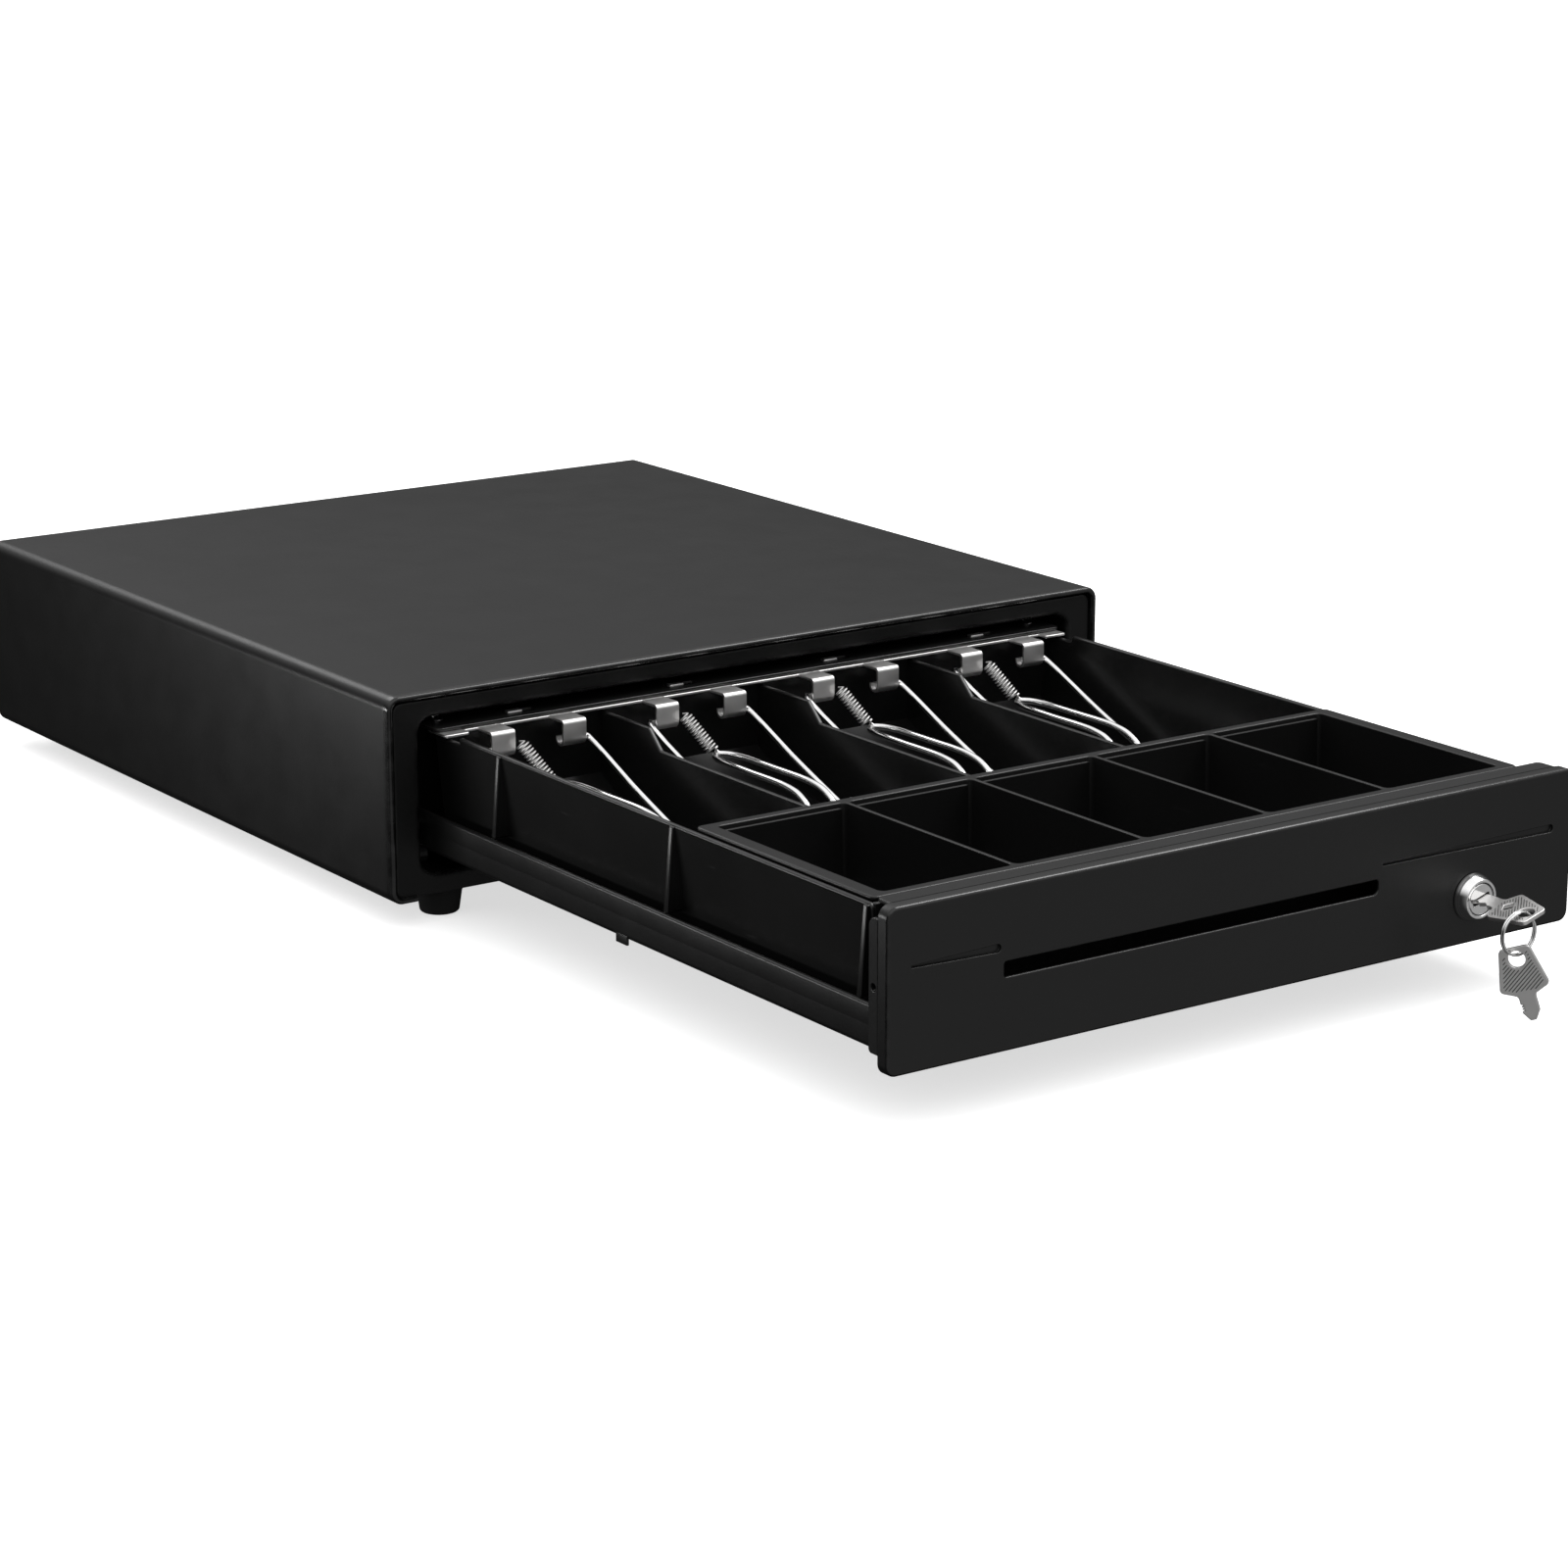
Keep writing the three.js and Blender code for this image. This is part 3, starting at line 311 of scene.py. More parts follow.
def smooth_path(points, steps=8):
    """A curve through every point, with even speed along it: the centripetal form of Catmull and Rom."""
    points = np.asarray(points, dtype=float)
    points = np.vstack([2 * points[0] - points[1], points, 2 * points[-1] - points[-2]])
    out = []
    for p0, p1, p2, p3 in zip(points, points[1:], points[2:], points[3:]):
        t1 = np.linalg.norm(p1 - p0) ** 0.5
        t2 = t1 + np.linalg.norm(p2 - p1) ** 0.5
        t3 = t2 + np.linalg.norm(p3 - p2) ** 0.5
        t = np.linspace(t1, t2, steps, endpoint=False)[:, None]
        a1 = (t1 - t) / t1 * p0 + t / t1 * p1
        a2 = (t2 - t) / (t2 - t1) * p1 + (t - t1) / (t2 - t1) * p2
        a3 = (t3 - t) / (t3 - t2) * p2 + (t - t2) / (t3 - t2) * p3
        b1 = (t2 - t) / t2 * a1 + t / t2 * a2
        b2 = (t3 - t) / (t3 - t1) * a2 + (t - t1) / (t3 - t1) * a3
        out.append((t2 - t) / (t2 - t1) * b1 + (t - t1) / (t2 - t1) * b2)
    return np.concatenate(out + [points[-2][None]])


def coil(start, end, radius, turns, per_turn=14):
    """A helix from one point to another, as an array of points."""
    start, end = np.asarray(start, dtype=float), np.asarray(end, dtype=float)
    along = (end - start) / np.linalg.norm(end - start)
    side = np.cross(along, [1.0, 0.2, 0.1])
    side /= np.linalg.norm(side)
    other = np.cross(along, side)
    share = np.linspace(0, 1, int(turns * per_turn) + 1)[:, None]
    angle = 2 * math.pi * turns * share
    return start + (end - start) * share + radius * (side * np.cos(angle) + other * np.sin(angle))

# %% [markdown]
# ## Writing finishes as expressions
# A finish is a Principled shader whose colour, roughness and small relief vary over the surface. A socket is
# wrapped in a small class, so that grain * 0.2 + 0.3 adds its Math nodes by itself. Everything else is added by
# one method, which takes a node's type, its settings and its values.

# %% Wrapper for sockets
class Wire:
    """An output socket that can be added, taken away and multiplied."""

    def __init__(self, finish, socket):
        self.finish, self.socket = finish, socket

    def __add__(self, other):
        return self.finish.math("ADD", self, other)

    def __sub__(self, other):
        return self.finish.math("SUBTRACT", self, other)

    def __rsub__(self, other):
        return self.finish.math("SUBTRACT", other, self)

    def __mul__(self, other):
        return self.finish.math("MULTIPLY", self, other)

    __radd__, __rmul__ = __add__, __mul__


class Finish:
    """A material with one Principled shader, and the methods that build what feeds it."""

    def __init__(self, name, constants):
        self.material = bpy.data.materials.new(name)
        self.material.use_nodes = True
        self.tree = self.material.node_tree
        self.shader = self.tree.nodes["Principled BSDF"]
        for socket, value in constants.items():
            self.shader.inputs[socket].default_value = value
        self.place = self.node("TexCoord", output="Object")

    def node(self, kind, settings=None, values=None, output=0):
        """Adds a node: first its settings, then the values or links of its sockets."""
        made = self.tree.nodes.new("ShaderNode" + kind)
        for key, value in (settings or {}).items():
            if key == "stops":
                for element, (position, shade) in zip(made.color_ramp.elements, value):
                    element.position, element.color = position, (shade, shade, shade, 1)
            else:
                setattr(made, key, value)
        for socket, value in (values or {}).items():
            self.link(made.inputs[socket], value)
        return Wire(self, made.outputs[output])

    def link(self, target, value):
        if isinstance(value, Wire):
            self.tree.links.new(value.socket, target)
        else:
            target.default_value = value

    def math(self, operation, a, b):
        return self.node("Math", {"operation": operation, "use_clamp": False}, {0: a, 1: b})

    def noise(self, scale, detail=3.0, rough=0.55, place=None):
        """Cloudy noise from about 0.25 to 0.75. scale is the number of its lumps in a metre."""
        values = {"Vector": place or self.place, "Scale": scale, "Detail": detail, "Roughness": rough}
        return self.node("TexNoise", None, values)

    def band(self, value, low, high):
        """0 below low, 1 above high and smooth between."""
        return self.node("MapRange", {"interpolation_type": "SMOOTHSTEP"}, {0: value, 1: low, 2: high})

    def mix(self, share, first, second):
        """A colour between two colours."""
        return self.node("Mix", {"data_type": "RGBA"}, {"Factor": share, 6: first, 7: second}, output=2)

    def stretched(self, scales):
        """The place with each axis stretched, so that noise on it turns into streaks."""
        return self.node("Mapping", None, {"Vector": self.place, "Scale": scales})

    def wear_and_highlight(self):
        """1 on the rounded edges of the pieces made here, 0 elsewhere: where edges are rubbed and where a highlight
        is painted.
        """
        return self.node("Attribute", {"attribute_name": "wear_and_highlight"}, output="Fac")

    def relief(self, height, distance, strength=1.0):
        """Feeds a height, in units of distance metres, to the normal."""
        values = {"Height": height, "Distance": distance, "Strength": strength}
        self.link(self.shader.inputs["Normal"], self.node("Bump", None, values, output="Normal"))

    def feed(self, links):
        for socket, value in links.items():
            self.link(self.shader.inputs[socket], value)
        return self.material


def grey(value, warm=0.0):
    """A neutral colour, a touch warmer where asked."""
    return (value * (1 + warm), value, value * (1 - warm), 1)

# %% [markdown]
# ## Painted steel
# The cabinet and the drawer are powder coated. Powder coat melts into a skin with faint waves about a millimetre
# across, called orange peel, and carries a little dust. The front frame's coat is a textured one: the same
# recipe with a strong, fine grain.

# %% Paint
# edge is the lighter colour of rounded edges: partly rubbed paint, partly a painted highlight.
def paint(name, colour, roughness, peel, grain, edge=0.022, level=0.4):
    """Powder coat: a shade that drifts, orange peel, fine grain, and edges that are a little lighter, partly as
    rubbed paint and partly as a painted highlight.
    """
    coat = Finish(name, {"Specular IOR Level": level})
    drift = coat.noise(9, 2)
    dust = coat.band(coat.noise(2600, 2), 0.62, 0.74)
    rub_and_highlight = coat.wear_and_highlight() * coat.band(coat.noise(140, 4), 0.35, 0.65)
    shade = coat.mix(drift, grey(colour * 0.85), grey(colour * 1.15))
    shade = coat.mix(dust * 0.25, shade, grey(colour * 2.2))
    # Rounded edges turn lighter in patches: partly rubbed paint, partly a painted highlight along folds and beads.
    shade = coat.mix(rub_and_highlight * 0.6, shade, grey(edge))
    coat.relief(coat.noise(900, 2) * peel + coat.noise(5200, 3) * grain, 0.0001)
    gloss = coat.noise(60, 4) * 0.1 + coat.noise(6, 2) * 0.06 + (roughness - 0.08)
    return coat.feed({"Base Color": shade, "Roughness": gloss - coat.wear_and_highlight() * 0.18})


cabinet_paint = paint("cabinet_paint", 0.005, 0.36, 0.22, 0.1)
drawer_paint = paint("drawer_paint", 0.006, 0.34, 0.25, 0.12)
textured_paint = paint("textured_paint", 0.003, 0.42, 0.5, 1.3, level=0.22)
print("paints made")

# %% [markdown]
# ## Moulded plastic and rubber
# The till and the coin tray are moulded in black polystyrene with a fine spark grain, half glossy: wires and
# walls mirror in it as soft streaks. It marks easily, so long faint scratches change its gloss.

# %% Plastic and rubber
def plastic(name, colour, roughness, grain, level=0.5):
    """Moulded plastic: spark grain, drifting gloss, long faint scratches, and lighter edges that are partly rubbed
    and partly a painted highlight.
    """
    skin = Finish(name, {"Specular IOR Level": level})
    streaks = skin.noise(1.0, 3, place=skin.stretched((1800, 60, 400)))
    scratch = skin.band(streaks, 0.66, 0.72) * skin.band(skin.noise(25, 2), 0.45, 0.6)
    drift = skin.noise(14, 3)
    shade = skin.mix(drift, grey(colour * 0.85), grey(colour * 1.2))
    # Rounded edges and rims turn lighter: partly rubbed plastic, partly a painted highlight.
    shade = skin.mix(skin.wear_and_highlight() * 0.5, shade, grey(colour * 2.5))
    skin.relief(skin.noise(3800, 2) * grain + scratch * 0.15, 0.00006)
    return skin.feed({"Base Color": shade, "Roughness": drift * 0.14 + scratch * 0.1 + (roughness - 0.07)})


till_plastic = plastic("till_plastic", 0.005, 0.3, 0.35, 0.4)
dark_plastic = plastic("dark_plastic", 0.02, 0.45, 0.5)
roller_plastic = plastic("roller_plastic", 0.015, 0.4, 0.3)
foot_rubber = plastic("foot_rubber", 0.006, 0.7, 1.2, 0.2)
print("plastics made")

# %% [markdown]
# ## Plated metal
# Chrome on wire and on the lock is bright with faint haze. The clip bar and the keys are nickel, brushed before
# plating, so their roughness comes in fine lines along one axis. Zinc on the hidden fittings is duller.

# %% Metal
def plated(name, colour, warm, roughness, brush, brush_place, haze):
    """Plated steel: brush lines as streaks of gloss and relief, and clouds of haze."""
    metal = Finish(name, {"Metallic": 1.0})
    lines = metal.noise(1.0, 3, place=metal.stretched(brush_place))
    cloud = metal.noise(220, 4)
    shade = metal.mix(cloud, grey(colour * 0.9, warm), grey(colour, warm))
    metal.relief(lines * brush + metal.noise(2500, 2) * haze * 0.3, 0.00003)
    return metal.feed({"Base Color": shade, "Roughness": lines * (brush * 0.25) + cloud * haze + roughness})


chrome = plated("chrome", 0.9, 0.0, 0.06, 0.12, (900, 900, 900), 0.08)
nickel = plated("nickel", 0.84, 0.01, 0.3, 0.4, (60, 3500, 3500), 0.12)
zinc = plated("zinc", 0.5, 0.0, 0.3, 0.5, (1500, 120, 1500), 0.2)
finishes = {"cabinet_paint": cabinet_paint, "drawer_paint": drawer_paint, "textured_paint": textured_paint,
            "till_plastic": till_plastic, "dark_plastic": dark_plastic, "roller_plastic": roller_plastic,
            "foot_rubber": foot_rubber, "chrome": chrome, "nickel": nickel, "zinc": zinc}
print("metals made")

# %% [markdown]
# ## Nodes that keep their shape
# Pieces inside the cabinet are right as they are in the working model, so they only get their finish.

# %% Finishes on the working model
for subpart in frame["record"]["subparts"]:
    node_mesh = frame["nodes"][subpart["node"]].data
    node_mesh.materials.clear()
    node_mesh.materials.append(finishes[subpart["material_slot"]])

# %% [markdown]
# ## The cabinet
# The cover is one sheet folded into a U, with short flanges below. At the front its edge is hemmed: the sheet
# turns back on itself, so the front is a round bead twice as thick. The section of that hem is carried along
# the U, and the two ends of the U are closed.

# %% Cabinet cover
def carried(plane, path, profile, wear_and_highlight):
    """A closed profile of (distance to the left of an open path, height), carried along it, with closed ends."""
    sides = np.diff(path, axis=0)
    sides /= np.linalg.norm(sides, axis=1, keepdims=True)
    normal = np.stack([-sides[:, 1], sides[:, 0]], axis=-1)
    before = np.vstack([normal[:1], normal])
    after = np.vstack([normal, normal[-1:]])
    mean = (before + after) / (1 + np.sum(before * after, axis=1, keepdims=True))
    points = placed(plane, path[:, None] + mean[:, None] * profile[None, :, :1], profile[:, 1])
    body = grid(points, wear_and_highlight, close_v=True)
    cap = np.array(tessellate_polygon([[Vector((u, v, 0)) for u, v in profile]]))
    last = len(body[0]) - len(profile)
    faces = body[1] + cap.tolist() + (cap + last).tolist()
    return [(body[0], faces, body[2])]


SHEET, HEM = 1.2, 2.4
HEM_DEPTH = 6.0
FLANGE_END = CABINET_HALF - 11
cover_path = rounded([(FLANGE_END, CABINET_LOW), (CABINET_HALF, CABINET_LOW), (CABINET_HALF, CABINET_HIGH),
                      (-CABINET_HALF, CABINET_HIGH), (-CABINET_HALF, CABINET_LOW), (-FLANGE_END, CABINET_LOW)],
                     CABINET_CORNER, 10, closed=False)
bead = arc((HEM / 2, HEM / 2), HEM / 2, 180, 360, 12)
hem_profile = np.concatenate([[(0, CABINET_DEPTH), (0, 2 * HEM)], bead, [(HEM, 2 * HEM), (HEM, HEM_DEPTH),
                              (SHEET, HEM_DEPTH + 0.2), (SHEET, CABINET_DEPTH)]])
# The bead's round front is marked as edge, so its colour is lighter there: partly rubbed paint, partly painted
# highlight lines.
hem_wear_and_highlight = np.zeros(len(hem_profile))
hem_wear_and_highlight[2:15] = 1.0
make("cabinet_cover", carried("xz", cover_path, hem_profile, hem_wear_and_highlight[None]), cabinet_paint, "root",
     ["cabinet_shell"])

# %% [markdown]
# The front frame sits just inside the bead. It is a plate with a large opening, and round the opening the sheet
# is drawn back into the cabinet over a soft radius.

# %% Front frame
BEZEL_Y, BEZEL_BACK, DRAW_RADIUS = 1.5, 15.0, 2.4
opening = rectangle(-OPENING_HALF, OPENING_HALF, OPENING_LOW, OPENING_HIGH, 6, 10)
bezel_outer = rectangle(-162, 162, 11, 85, 3.5)
draw = arc((DRAW_RADIUS, BEZEL_Y + DRAW_RADIUS), DRAW_RADIUS, 270, 180, 8)
draw_profile = np.concatenate([[(DRAW_RADIUS + 0.3, BEZEL_Y)], draw, [(0, BEZEL_BACK), (SHEET, BEZEL_BACK),
                               (SHEET, BEZEL_Y + 3.4), (DRAW_RADIUS + 0.3, BEZEL_Y + 1.5)]])
# The opening's drawn edge and the frame's outer edge are marked as edges: lighter there, partly rubbed paint and
# partly a painted highlight.
draw_wear_and_highlight = ridge(9, 4)
frame_rows = [(0.9, BEZEL_Y), (0.6, BEZEL_Y), (0.2, BEZEL_Y + 0.2), (0, BEZEL_Y + 0.6), (0, 3), (0.9, 3)]
inner_front = grown(opening, DRAW_RADIUS + 0.3)
bezel = [wall("xz", opening, draw_profile * [-1, 1], draw_wear_and_highlight),
         wall("xz", bezel_outer, frame_rows, [0, 0, 1, 0, 0, 0]),
         fill("xz", [grown(bezel_outer, -0.9), inner_front], BEZEL_Y),
         fill("xz", [grown(bezel_outer, -0.9), inner_front], BEZEL_Y + 1.5)]
make("front_frame", bezel, textured_paint, "root", ["front_bezel"])

# %% [markdown]
# The back panel is a plain sheet with a window for the release socket, and the cabinet stands on four rubber
# feet that widen upwards.

# %% Back panel and feet
socket_window = rectangle(92, 108, 43, 57, 0.8, 3)
make("back_panel", slab("xz", rectangle(-163.5, 163.5, 11.9, 86.5, 3), 334.5, 335.7, 0.3, [socket_window]),
     textured_paint, "root", ["rear_panel"])
foot_profile = np.concatenate([[(0, 0.4), (4.5, 0.4), (5, 0)], arc((6, 1.6), 1.6, 270, 340, 5),
                               [(8.6, 8.4), (9, 9.0), (9, 10.7), (0, 10.7)]])
for row, y in (("front", 14), ("rear", 320)):
    for side, x in (("left", -137), ("right", 137)):
        make(f"rubber_foot_{row}_{side}", [turned(foot_profile, (x, y, 0), "z")], foot_rubber, "root",
             [f"foot_{row}_{side}"])

# %% [markdown]
# ## The drawer's steel tray
# The tray is one sheet folded up at both sides, with its top edges hemmed so that they are round and twice as
# thick, and a taller wall at the back. Two small tabs under the sides stop it as it leaves the cabinet.

# %% Tray
def joined(*groups):
    """Several lists of patches as one."""
    return [patch for group in groups for patch in group]


PAN_SHEET, HEM_LOW = 1.0, 35.0
pan_path = rounded([(-PAN_HALF, HEM_LOW), (-PAN_HALF, PAN_FLOOR), (PAN_HALF, PAN_FLOOR), (PAN_HALF, HEM_LOW)],
                   2.0, 6, closed=False)
pan_hem = rounded([(PAN_HALF - 2.2, HEM_LOW), (PAN_HALF, HEM_LOW), (PAN_HALF, PAN_TOP), (PAN_HALF - 2.2, PAN_TOP)],
                  [0.3, 0.05, 1.05, 1.05], 6)
pan_rear = rounded([(-145.5, PAN_FLOOR), (145.5, PAN_FLOOR), (145.5, 72.4), (-145.5, 72.4)], [0.5, 0.5, 3, 3])
stop_tab = rectangle(PAN_HALF - 1, PAN_HALF, -131, -124, 0.2, 2)
make("drawer_tray", joined(
    slab("xz", strip(pan_path, PAN_SHEET), PAN_FRONT, PAN_REAR, 0.15),
    slab("xz", pan_hem, PAN_FRONT + 1, PAN_REAR, 0.4),
    slab("xz", pan_hem * [-1, 1], PAN_FRONT + 1, PAN_REAR, 0.4),
    slab("xz", pan_rear, PAN_REAR - 1.1, PAN_REAR - 0.1, 0.3),
    slab("xz", rectangle(-145, LOCK_X - 11, PAN_FLOOR + 1, 40, 0.5, 2), PAN_FRONT + 0.1, PAN_FRONT + 1, 0.2),
    slab("xy", stop_tab, 25, 28.5, 0.2), slab("xy", stop_tab * [-1, 1], 25, 28.5, 0.2)),
    drawer_paint, "drawer", ["drawer_pan"])

# %% [markdown]
# ## The front panel
# The panel is a shallow pressing: a flat face, a fold of two millimetres radius all round, and flanges that
# run back to stiffen it. The media slot has pressed, rounded lips. The two decorative grooves are pressed in,
# thin where they start and round where they end, so each is a shallow pocket with its own floor.

# %% Front panel
FOLD, PANEL_SHEET, SKIRT = 1.3, 1.5, 5.0
panel = rectangle(-PANEL_HALF, PANEL_HALF, PANEL_LOW, PANEL_HIGH, 4.0, 10)
slot_low, slot_high = SLOT_Z - SLOT_HEIGHT / 2, SLOT_Z + SLOT_HEIGHT / 2
slot = rounded([(SLOT_LEFT, slot_low), (SLOT_RIGHT, slot_low), (SLOT_RIGHT, slot_high), (SLOT_LEFT, slot_high)],
               [1.0, 2.2, 1.4, 1.0], 8)
lock_hole = arc((LOCK_X, LOCK_Z), 7.7, 0, 360, 32)[:-1]


GROOVE_THIN, GROOVE_ROUND = 0.4, 1.4


def groove_outline(start, end):
    """A tapered groove: nearly a point at its start, a half circle at its end."""
    turn = math.copysign(1, end - start)
    first = -90 * turn
    cap = arc((end - turn * GROOVE_ROUND, GROOVE_Z), GROOVE_ROUND, first, first + 180, 8)
    thin = [(start, GROOVE_Z + turn * GROOVE_THIN), (start, GROOVE_Z - turn * GROOVE_THIN)]
    return np.concatenate([cap, thin])


def groove(outline, depth=1.2):
    """The pocket under a groove's outline: rounded lip, short wall, rounded bottom, floor."""
    lip = arc((-0.3, 0.3), 0.3, 270, 360, 4)
    rows = np.concatenate([[(-0.45, 0)], lip, [(0.0, depth - 0.15), (0.12, depth), (0.2, depth)]])
    # Groove lips are edges: lighter there, partly rubbed paint and partly a painted highlight.
    wear_and_highlight = ridge(5, 3)
    return [wall("xz", outline, rows + [0, PANEL_Y], wear_and_highlight), fill("xz", [grown(outline, -0.2)], PANEL_Y + depth)]


grooves = [groove_outline(-GROOVE_OUTER, SLOT_LEFT - 1.5), groove_outline(SLOT_RIGHT + 1.5, GROOVE_OUTER)]
fold = arc((FOLD, FOLD), FOLD, 270, 180, 8)
skirt_rows = np.concatenate([[(FOLD + 0.4, 0)], fold, [(0, SKIRT), (PANEL_SHEET, SKIRT), (PANEL_SHEET, 2.1),
                             (PANEL_SHEET, PANEL_SHEET), (FOLD + 0.4, PANEL_SHEET)]])
# The fold and the lips of the slot and the lock hole are edges: lighter there, partly rubbed paint and partly a
# painted highlight line.
skirt_wear_and_highlight = ridge(9, 5)
lip_rows, lip_wear_and_highlight = edge_profile(0, PANEL_SHEET, 0.6)
face = grown(panel, -(FOLD + 0.4))
front_holes = [grown(slot, lip_rows[0, 0]), grown(lock_hole, lip_rows[0, 0])]
front = [wall("xz", panel, skirt_rows + [0, PANEL_Y], skirt_wear_and_highlight),
         fill("xz", [face] + front_holes + [grown(g, 0.45) for g in grooves], PANEL_Y),
         fill("xz", [face] + front_holes, PANEL_Y + PANEL_SHEET)]
front += [wall("xz", hole, lip_rows * [-1, 1] + [0, PANEL_Y], lip_wear_and_highlight) for hole in (slot, lock_hole)]
front += joined(*[groove(outline) for outline in grooves])
flange_y = (PANEL_Y + SKIRT, PANEL_Y + 13)
top_flange = rounded([(-144.5, flange_y[0]), (144.5, flange_y[0]), (144.5, flange_y[1]), (-144.5, flange_y[1])],
                     [0.05, 0.05, 2, 2], 4)
side_flange = rounded([(flange_y[0], 27), (PANEL_Y + 10, 27), (PANEL_Y + 10, 72), (flange_y[0], 72)],
                      [0.05, 1.5, 3, 0.05], 6)
low_flange = rounded([(-145, flange_y[0]), (145, flange_y[0]), (145, PANEL_Y + 7), (-145, PANEL_Y + 7)],
                     [0.05, 0.05, 1, 1], 3)
rivet = arc((PANEL_Y + 7.4, 49), 1.3, 0, 360, 16)[:-1]
front += slab("xy", top_flange, PANEL_HIGH - PANEL_SHEET, PANEL_HIGH, 0.25)
front += slab("yz", side_flange, -PANEL_HALF, -PANEL_HALF + PANEL_SHEET, 0.25, [rivet])
front += slab("yz", side_flange, PANEL_HALF - PANEL_SHEET, PANEL_HALF, 0.25, [rivet])
front += slab("xy", low_flange, PANEL_LOW, PANEL_LOW + PANEL_SHEET, 0.25)
make("front_panel", front, drawer_paint, "drawer", ["drawer_front"])

# %% [markdown]
# ## The ledge behind the note bays
# A flat sheet closes the back of the drawer. It has a slot for each tongue of the clip bar, and a domed screw
# with a cross recess at each end. The recess is part of the dome's height: a function of angle and radius.

# %% Rear ledge and screws
tongue_slots = [rectangle(x - 4, x + 9, 4.5, 8.5, 0.6, 3) for x in BILL_CENTRES]
screw_holes = [arc((x, 12), 1.9, 0, 360, 16)[:-1] for x in (-138, 138)]
deck = rectangle(-145.5, 145.5, -1, 27, 3)
make("rear_ledge", slab("xy", deck, DECK_TOP - 1.2, DECK_TOP, 0.35, tongue_slots + screw_holes), drawer_paint,
     "drawer", ["rear_deck"])


def domed_screw(x, y, z, radius=2.9, height=1.9, recess=0.9, turn=20):
    """A dome z = height * sqrt(1 - r^2) with a cross sunk into it, on a short shank."""
    r = np.concatenate([np.linspace(0.0, 0.9, 22), np.linspace(0.92, 1.0, 6)])[None, :]
    angle = np.linspace(0, 2 * math.pi, 96, endpoint=False)[:, None]
    dome = height * np.sqrt(np.clip(1 - (r * 0.97) ** 2, 0, 1)) - height * math.sqrt(1 - 0.97 ** 2)
    u, v = radius * r * np.cos(angle), radius * r * np.sin(angle)
    arm = np.minimum(np.abs(u), np.abs(v))
    reach = np.maximum(np.abs(u), np.abs(v))
    sunk = np.clip((0.55 - arm) / 0.15, 0, 1) * np.clip((1.75 - reach) / 0.35, 0, 1)
    top = dome - recess * sunk
    spin = math.radians(turn)
    points = np.stack([u * math.cos(spin) - v * math.sin(spin) + x, u * math.sin(spin) + v * math.cos(spin) + y,
                       top + z], axis=-1)
    shank = np.array([(radius, 0), (1.5, 0), (1.5, -5.5), (0, -5.5)])
    under = turned(shank, (x, y, z), "z", 96)[0].reshape(96, 4, 3)
    under[:, 0] = points[:, -1]
    return [grid(points, 0, close_u=True), grid(under, 0, close_u=True)]


for side, x in (("left", -138), ("right", 138)):
    make(f"screw_{side}", domed_screw(x, 12, DECK_TOP + 0.3), chrome, "drawer", [f"deck_screw_{side}"])

# %% [markdown]
# ## The moulded till
# The till drops into the tray. Its side walls lean out for the mould (draft), three tapered ribs on each side
# hold it in the tray, and the note bays' floor rises in a curve at the back so that notes slide out over it.
# The dividers step down in front of the clip bar.

# %% Till
def till_side(z):
    """Half the till's outer width at height z: the wall leans out."""
    return TILL_HALF - TILL_DRAFT * (TILL_TOP - z) / (TILL_TOP - TILL_LOW)


def mirrored(patches):
    """The same patches on the other side of the object."""
    return [(points * [-1, 1, 1], faces, wear_and_highlight) for points, faces, wear_and_highlight in patches]


FLOOR_TOP, TILL_WALL, UNDER_BAR = TILL_LOW + 2.0, 2.2, -13.5
CROSS_TOP, BACK_TOP = 63.0, 70.8
RAMP_START, RAMP_TURN, RAMP_END, RAMP_RISE = -66, -26, 2.5, 16
side_outline = rounded([(TILL_FRONT, TILL_LOW), (TILL_REAR, TILL_LOW), (TILL_REAR, TILL_REAR_TOP),
                        (UNDER_BAR, TILL_REAR_TOP), (UNDER_BAR, TILL_TOP), (TILL_FRONT, TILL_TOP)],
                       [1, 1, 0.6, 0.6, 0.8, 2.5], 6)


def drafted(patches):
    """Upright patches at the till's left side, leaned over by the draft."""
    return [(points + (TILL_HALF - till_side(points[..., 2:])) * [1, 0, 0], faces, wear_and_highlight)
            for points, faces, wear_and_highlight in patches]


def cross_wall(half_top, top, corner, front, back):
    """A wall across the till, a little wider at its top."""
    outline = [(-inner_low, TILL_LOW), (inner_low, TILL_LOW), (half_top, top), (-half_top, top)]
    return slab("xz", rounded(outline, corner, 3), front, back, 0.5)


till = drafted(slab("yz", side_outline, -TILL_HALF, -TILL_HALF + TILL_WALL, 0.85))
till += mirrored(till)
inner_low = till_side(FLOOR_TOP) - 1.2
till += cross_wall(TILL_HALF - 1.4, TILL_TOP, [0.1, 0.1, 0.6, 0.6], TILL_FRONT, TILL_FRONT + 1.8)
till += cross_wall(till_side(CROSS_TOP) - 1.4, CROSS_TOP, [0.1, 0.1, 0.6, 0.6], CROSS_WALL - 1.6, CROSS_WALL)
till += cross_wall(till_side(BACK_TOP) - 1.4, BACK_TOP, 0.1, TILL_REAR - 2, TILL_REAR)
share = np.linspace(0, 1, 24)[:, None]
ramp = ((1 - share) ** 2 * [RAMP_START, FLOOR_TOP] + 2 * share * (1 - share) * [RAMP_TURN, FLOOR_TOP]
        + share ** 2 * [RAMP_END, FLOOR_TOP + RAMP_RISE])
floor_section = np.concatenate([[(TILL_FRONT + 0.5, TILL_LOW), (RAMP_END, TILL_LOW)], ramp[::-1],
                                [(TILL_FRONT + 0.5, FLOOR_TOP)]])
till += slab("yz", floor_section, -inner_low, inner_low, 0.05)
